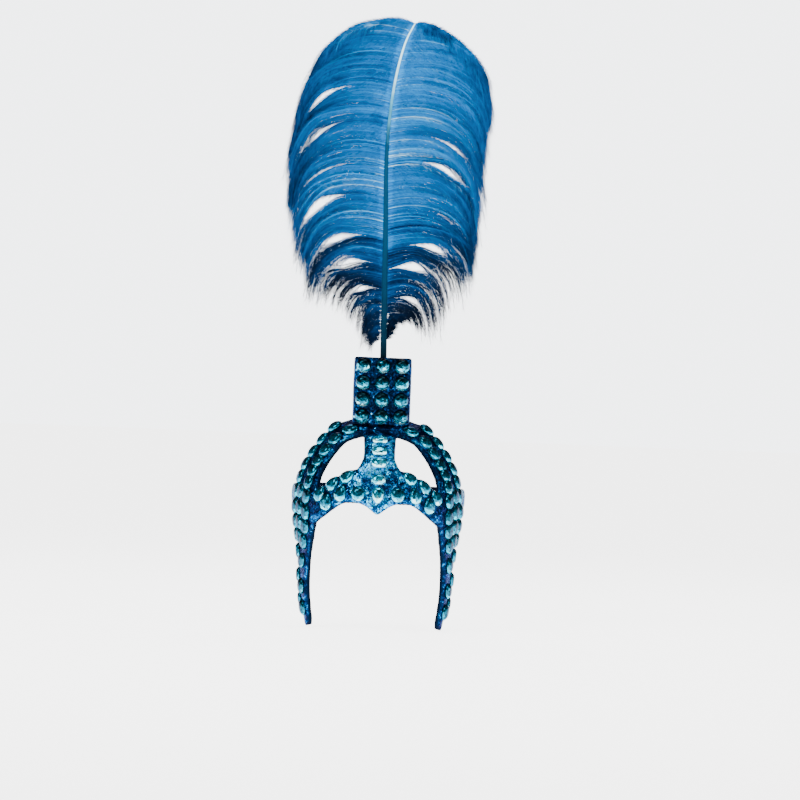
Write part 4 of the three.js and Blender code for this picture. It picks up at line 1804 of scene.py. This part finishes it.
    def fluff(
        self, lines: np.ndarray, ahead: np.ndarray, across: np.ndarray, rng: np.random.Generator
    ) -> tuple[np.ndarray, np.ndarray, np.ndarray]:
        """The barbules, one thin triangle each, longer and straighter near the barbs' tips.

        Args:
            lines: the barbs' middle lines.
            ahead: the way along each of them.
            across: the way across it.
            rng: the seeded generator.

        Returns:
            Their corners, their places along the barbs and the sample below each place.
        """
        shape = (self.barbs, self.barbules)
        place = (np.arange(self.barbules) + rng.uniform(0, 1, shape)) / self.barbules
        place = self.bare_foot + (1 - self.bare_foot) * place
        position = place * (self.samples - 1)
        index = np.minimum(position.astype(int), self.samples - 2)
        w = (position - index)[..., None]
        row = np.arange(self.barbs)[:, None]
        foot = lines[row, index] * (1 - w) + lines[row, index + 1] * w
        ahead, across = ahead[row, index], across[row, index]
        flip = np.where(np.arange(self.barbules) % 2 == 0, 1.0, -1.0)[None, :, None]
        turn = rng.uniform(-0.8, 0.8, (*shape, 1))
        spread = across * flip * np.cos(turn) + np.cross(ahead, across) * np.sin(turn)
        near_tip = rising(place, 0.8, 0.2)[..., None]
        angle = rng.normal(0.55, 0.16, (*shape, 1)) * (1 - 0.6 * near_tip)
        heading = ahead * np.cos(angle) + spread * np.sin(angle)
        heading[..., 2] -= 0.12
        size = self.barbule_length * rng.uniform(0.5, 1.15, (*shape, 1)) * (1 + 1.3 * near_tip)
        size *= (0.55 + 0.6 * np.sin(place * math.pi) ** 0.7)[..., None]
        half = ahead * self.barbule_half
        corners = np.stack([foot - half, foot + half, foot + heading * size], 2)
        return corners.reshape(-1, 3), place, index

    def lay_out(self, mesh: bpy.types.Mesh, place: np.ndarray) -> None:
        """Lays the barbs side by side for baking, each a column with its barbules beside it.

        Args:
            mesh: the side's mesh.
            place: the barbules' places along the barbs.
        """
        column = (np.arange(self.barbs) + 0.5) / self.barbs
        edges = np.tile([-0.4, 0.4], self.barbs * self.samples) / self.barbs
        ribbon_u = np.repeat(column, self.samples * 2) + edges
        ribbon_v = np.tile(np.repeat(np.linspace(0, 1, self.samples), 2), self.barbs)
        fluff_u = np.repeat(column, self.barbules)[:, None] + np.array([-0.3, 0.3, 0]) / self.barbs
        fluff_v = place.reshape(-1, 1) + np.array([0, 0, 0.6]) / self.barbules
        u = np.concatenate([ribbon_u, fluff_u.ravel()])
        v = np.concatenate([ribbon_v, fluff_v.ravel()])
        uv = np.clip(np.stack([u, v], 1), 0, 1)
        order = np.zeros(len(mesh.loops), np.int32)
        mesh.loops.foreach_get("vertex_index", order)
        layer = mesh.uv_layers.new(name="OFBake")
        layer.data.foreach_set("uv", uv[order].astype(np.float32).ravel())

    def build_side(
        self, sign: int, material: bpy.types.Material, node: str, seed: int
    ) -> bpy.types.Object:
        """Builds one side's barbs with their barbules.

        Args:
            sign: 1 for +X, -1 for -X.
            material: the dyed barbs' finish.
            node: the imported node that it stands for.
            seed: for the barbs' places.

        Returns:
            The piece.
        """
        rng = np.random.default_rng(seed)
        lines, roots, lock = self.side_lines(sign, rng)
        ahead = unit(np.gradient(lines, axis=1))
        roll = rng.uniform(-0.9, 0.9, (self.barbs, 1))
        facing = np.stack([np.sin(roll), -np.cos(roll), 0 * roll], -1)
        across = unit(np.cross(ahead, facing + 0 * ahead))
        dye = self.dye(roots, lock, rng)
        corners, place, index = self.fluff(lines, ahead, across, rng)
        fluff_dye = np.take_along_axis(dye, index, 1) + rng.normal(0, 0.05, place.shape)
        triangles = np.arange(len(corners)).reshape(-1, 3)
        points, faces = joined([self.ribbons(lines, across), (corners, triangles)])
        piece = mesh_object(f"{node}_barbs", points, faces)
        tones = [np.repeat((dye + 0.05).ravel(), 2), np.repeat(fluff_dye.ravel(), 3)]
        store(piece.data, "dye", np.clip(np.concatenate(tones), 0, 1))
        self.lay_out(piece.data, place)
        return dress(piece, material, [node])

    def build_quill(self, material: bpy.types.Material) -> bpy.types.Object:
        """Builds the quill, oval and grooved down its face.

        Args:
            material: its finish.

        Returns:
            The piece.
        """
        shares = np.linspace(0, 1, 90)
        middle = self.quill_path().at_length(shares)
        middle = np.vstack([middle[:1] - [[0, 0, self.quill_socket]], middle])
        shares = np.concatenate([[0], shares])
        sides = 20
        angles = np.arange(sides) * 2 * math.pi / sides
        # the groove runs down the front, a third of a radian wide
        groove = 1 - self.quill_groove * np.exp(-(((angles - 1.5 * math.pi) / 0.35) ** 2))
        section = np.stack([np.cos(angles), np.sin(angles) * 0.9, 0 * angles], 1) * groove[:, None]
        radius = self.quill_width(shares) / 2
        rings = middle[:, None, :] + section[None] * radius[:, None, None]
        piece = mesh_object("quill_shaft", *loft(rings))
        piece.data.shade_smooth()
        rise = np.repeat(shares, sides)
        store(piece.data, "rise", np.concatenate([rise, [0, 1]]))
        return dress(piece, material, ["quill"])


# Studio


@dataclass
class Studio:
    """A plain pale floor under a white horizon, soft light, and the camera as the photograph's.

    Attributes:
        distance: from the camera to the headdress.
        frame_width: the width that the picture takes in there.
        roll: how far the camera leans, in degrees.
        aim: the point in the picture's middle.
        floor_reach: half the floor's size.
        paper_glow: how much light the floor's white paper adds of its own.
        dim: the strength of the surroundings overhead and behind the camera.
        bright: their strength at the horizon.
        sensor: the camera's sensor width, in millimetres.
    """

    distance: float = 5.0
    frame_width: float = 0.76
    roll: float = 2.2
    aim: tuple[float, float] = (0.0172, 0.0988)
    floor_reach: float = 25.0
    paper_glow: float = 4.1
    dim: float = 0.22
    bright: float = 5.0
    sensor: float = 36

    # name, place, width and power in watts
    softboxes = (
        ("key", (-0.9, -1.6, 1.6), 1.0, 30),
        ("fill", (1.5, -1.6, 0.5), 1.0, 9),
        ("top", (0.2, -0.3, 1.9), 0.9, 16),
        ("rear", (0.0, 1.1, 1.7), 1.2, 18),
    )

    def build(self) -> None:
        """Makes the floor, the lights, the world and the camera."""
        self.floor()
        for row in self.softboxes:
            self.softbox(*row)
        self.sky()
        self.camera()

    def floor(self) -> None:
        """Makes the floor, wide enough to reach the horizon from every side."""
        corners = np.array([[-1, -1, 0], [1, -1, 0], [1, 1, 0], [-1, 1, 0]]) * self.floor_reach
        corners[:, 2] = CAD_BOX[0].z - 0.5 * MM
        floor = mesh_object("studio_floor", corners, np.array([[0, 1, 2, 3]]))
        material, tree = new_material("matt white studio paper")
        grain = add_node(tree, "TexNoise", {"Scale": 400.0}).outputs["Fac"]
        values = {
            "Roughness": 0.95,
            "Emission Color": linear("#FFFFFF"),
            "Emission Strength": self.paper_glow,
        }
        colour = add_ramp(tree, grain, ((0.3, "#F6F6F4"), (0.7, "#FBFBFA")))
        finish_material(tree, add_node(tree, "BsdfPrincipled", values, {"Base Color": colour}))
        floor.data.materials.append(material)
        floor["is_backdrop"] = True

    def sky(self) -> None:
        """Makes the surroundings: dim overhead and behind the camera, white at the horizon."""
        world = bpy.data.worlds.new("studio")
        bpy.context.scene.world = world
        world.use_nodes = True
        tree = world.node_tree
        add = partial(add_node, tree)
        way = add("TexCoord").outputs["Generated"]
        parts = add("SeparateXYZ", links={0: way}).outputs
        level = add("Math", links={0: parts["Z"]}, operation="ABSOLUTE").outputs[0]
        low = {"From Min": 0.13, "From Max": 0.26, "To Min": 1.0, "To Max": 0.0}
        beyond = {"From Min": -0.55, "From Max": -0.3}
        shares = [
            add("MapRange", values, {"Value": source}).outputs[0]
            for values, source in ((low, level), (beyond, parts["Y"]))
        ]
        paper = add("Math", links=dict(enumerate(shares)), operation="MULTIPLY").outputs[0]
        strength = add(
            "MapRange", {"To Min": self.dim, "To Max": self.bright}, {"Value": paper}
        ).outputs[0]
        background = tree.nodes["Background"]
        background.inputs["Color"].default_value = linear("#F4F7FA")
        tree.links.new(strength, background.inputs["Strength"])

    def softbox(
        self, name: str, place: tuple[float, float, float], size: float, power: float
    ) -> None:
        """Adds one soft light that points at the headdress.

        Args:
            name: its name.
            place: where it stands.
            size: its width.
            power: in watts.
        """
        data = bpy.data.lights.new(name, "AREA")
        data.shape = "SQUARE"
        data.size = size
        data.energy = power
        lamp = bpy.data.objects.new(name, data)
        bpy.context.scene.collection.objects.link(lamp)
        lamp.location = place
        aim = Vector((0, 0, self.aim[1])) - Vector(place)
        lamp.rotation_euler = aim.to_track_quat("-Z", "Y").to_euler()

    def camera(self) -> None:
        """Places the camera."""
        data = bpy.data.cameras.new("camera")
        data.sensor_width = self.sensor
        data.lens = self.sensor * self.distance / self.frame_width
        camera = bpy.data.objects.new("camera", data)
        bpy.context.scene.collection.objects.link(camera)
        level = Matrix.Rotation(math.pi / 2, 4, "X")
        level = level @ Matrix.Rotation(math.radians(self.roll), 4, "Z")
        place = Matrix.Translation((self.aim[0], -self.distance, self.aim[1]))
        camera.matrix_world = place @ level
        bpy.context.scene.camera = camera


def main() -> None:
    """Builds the headdress and its studio."""
    logging.basicConfig(level=logging.INFO, format="%(name)s %(message)s")
    helmet = HelmetFrame()
    helmet.build(HELMET_FABRIC)
    acrylic = STONE_ACRYLIC.build()
    HelmetStones(helmet).build(acrylic)
    box = PlumeBox()
    box.build(BOX_FABRIC)
    box.build_stones(acrylic)
    plume = Plume()
    barbs = PLUME_BARBS.build()
    plume.build_side(-1, barbs, "left_vane", SEED + 10)
    plume.build_side(1, barbs, "right_vane", SEED + 11)
    plume.build_quill(PLUME_QUILL.build())
    Studio().build()
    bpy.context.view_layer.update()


if __name__ == "__main__":
    main()
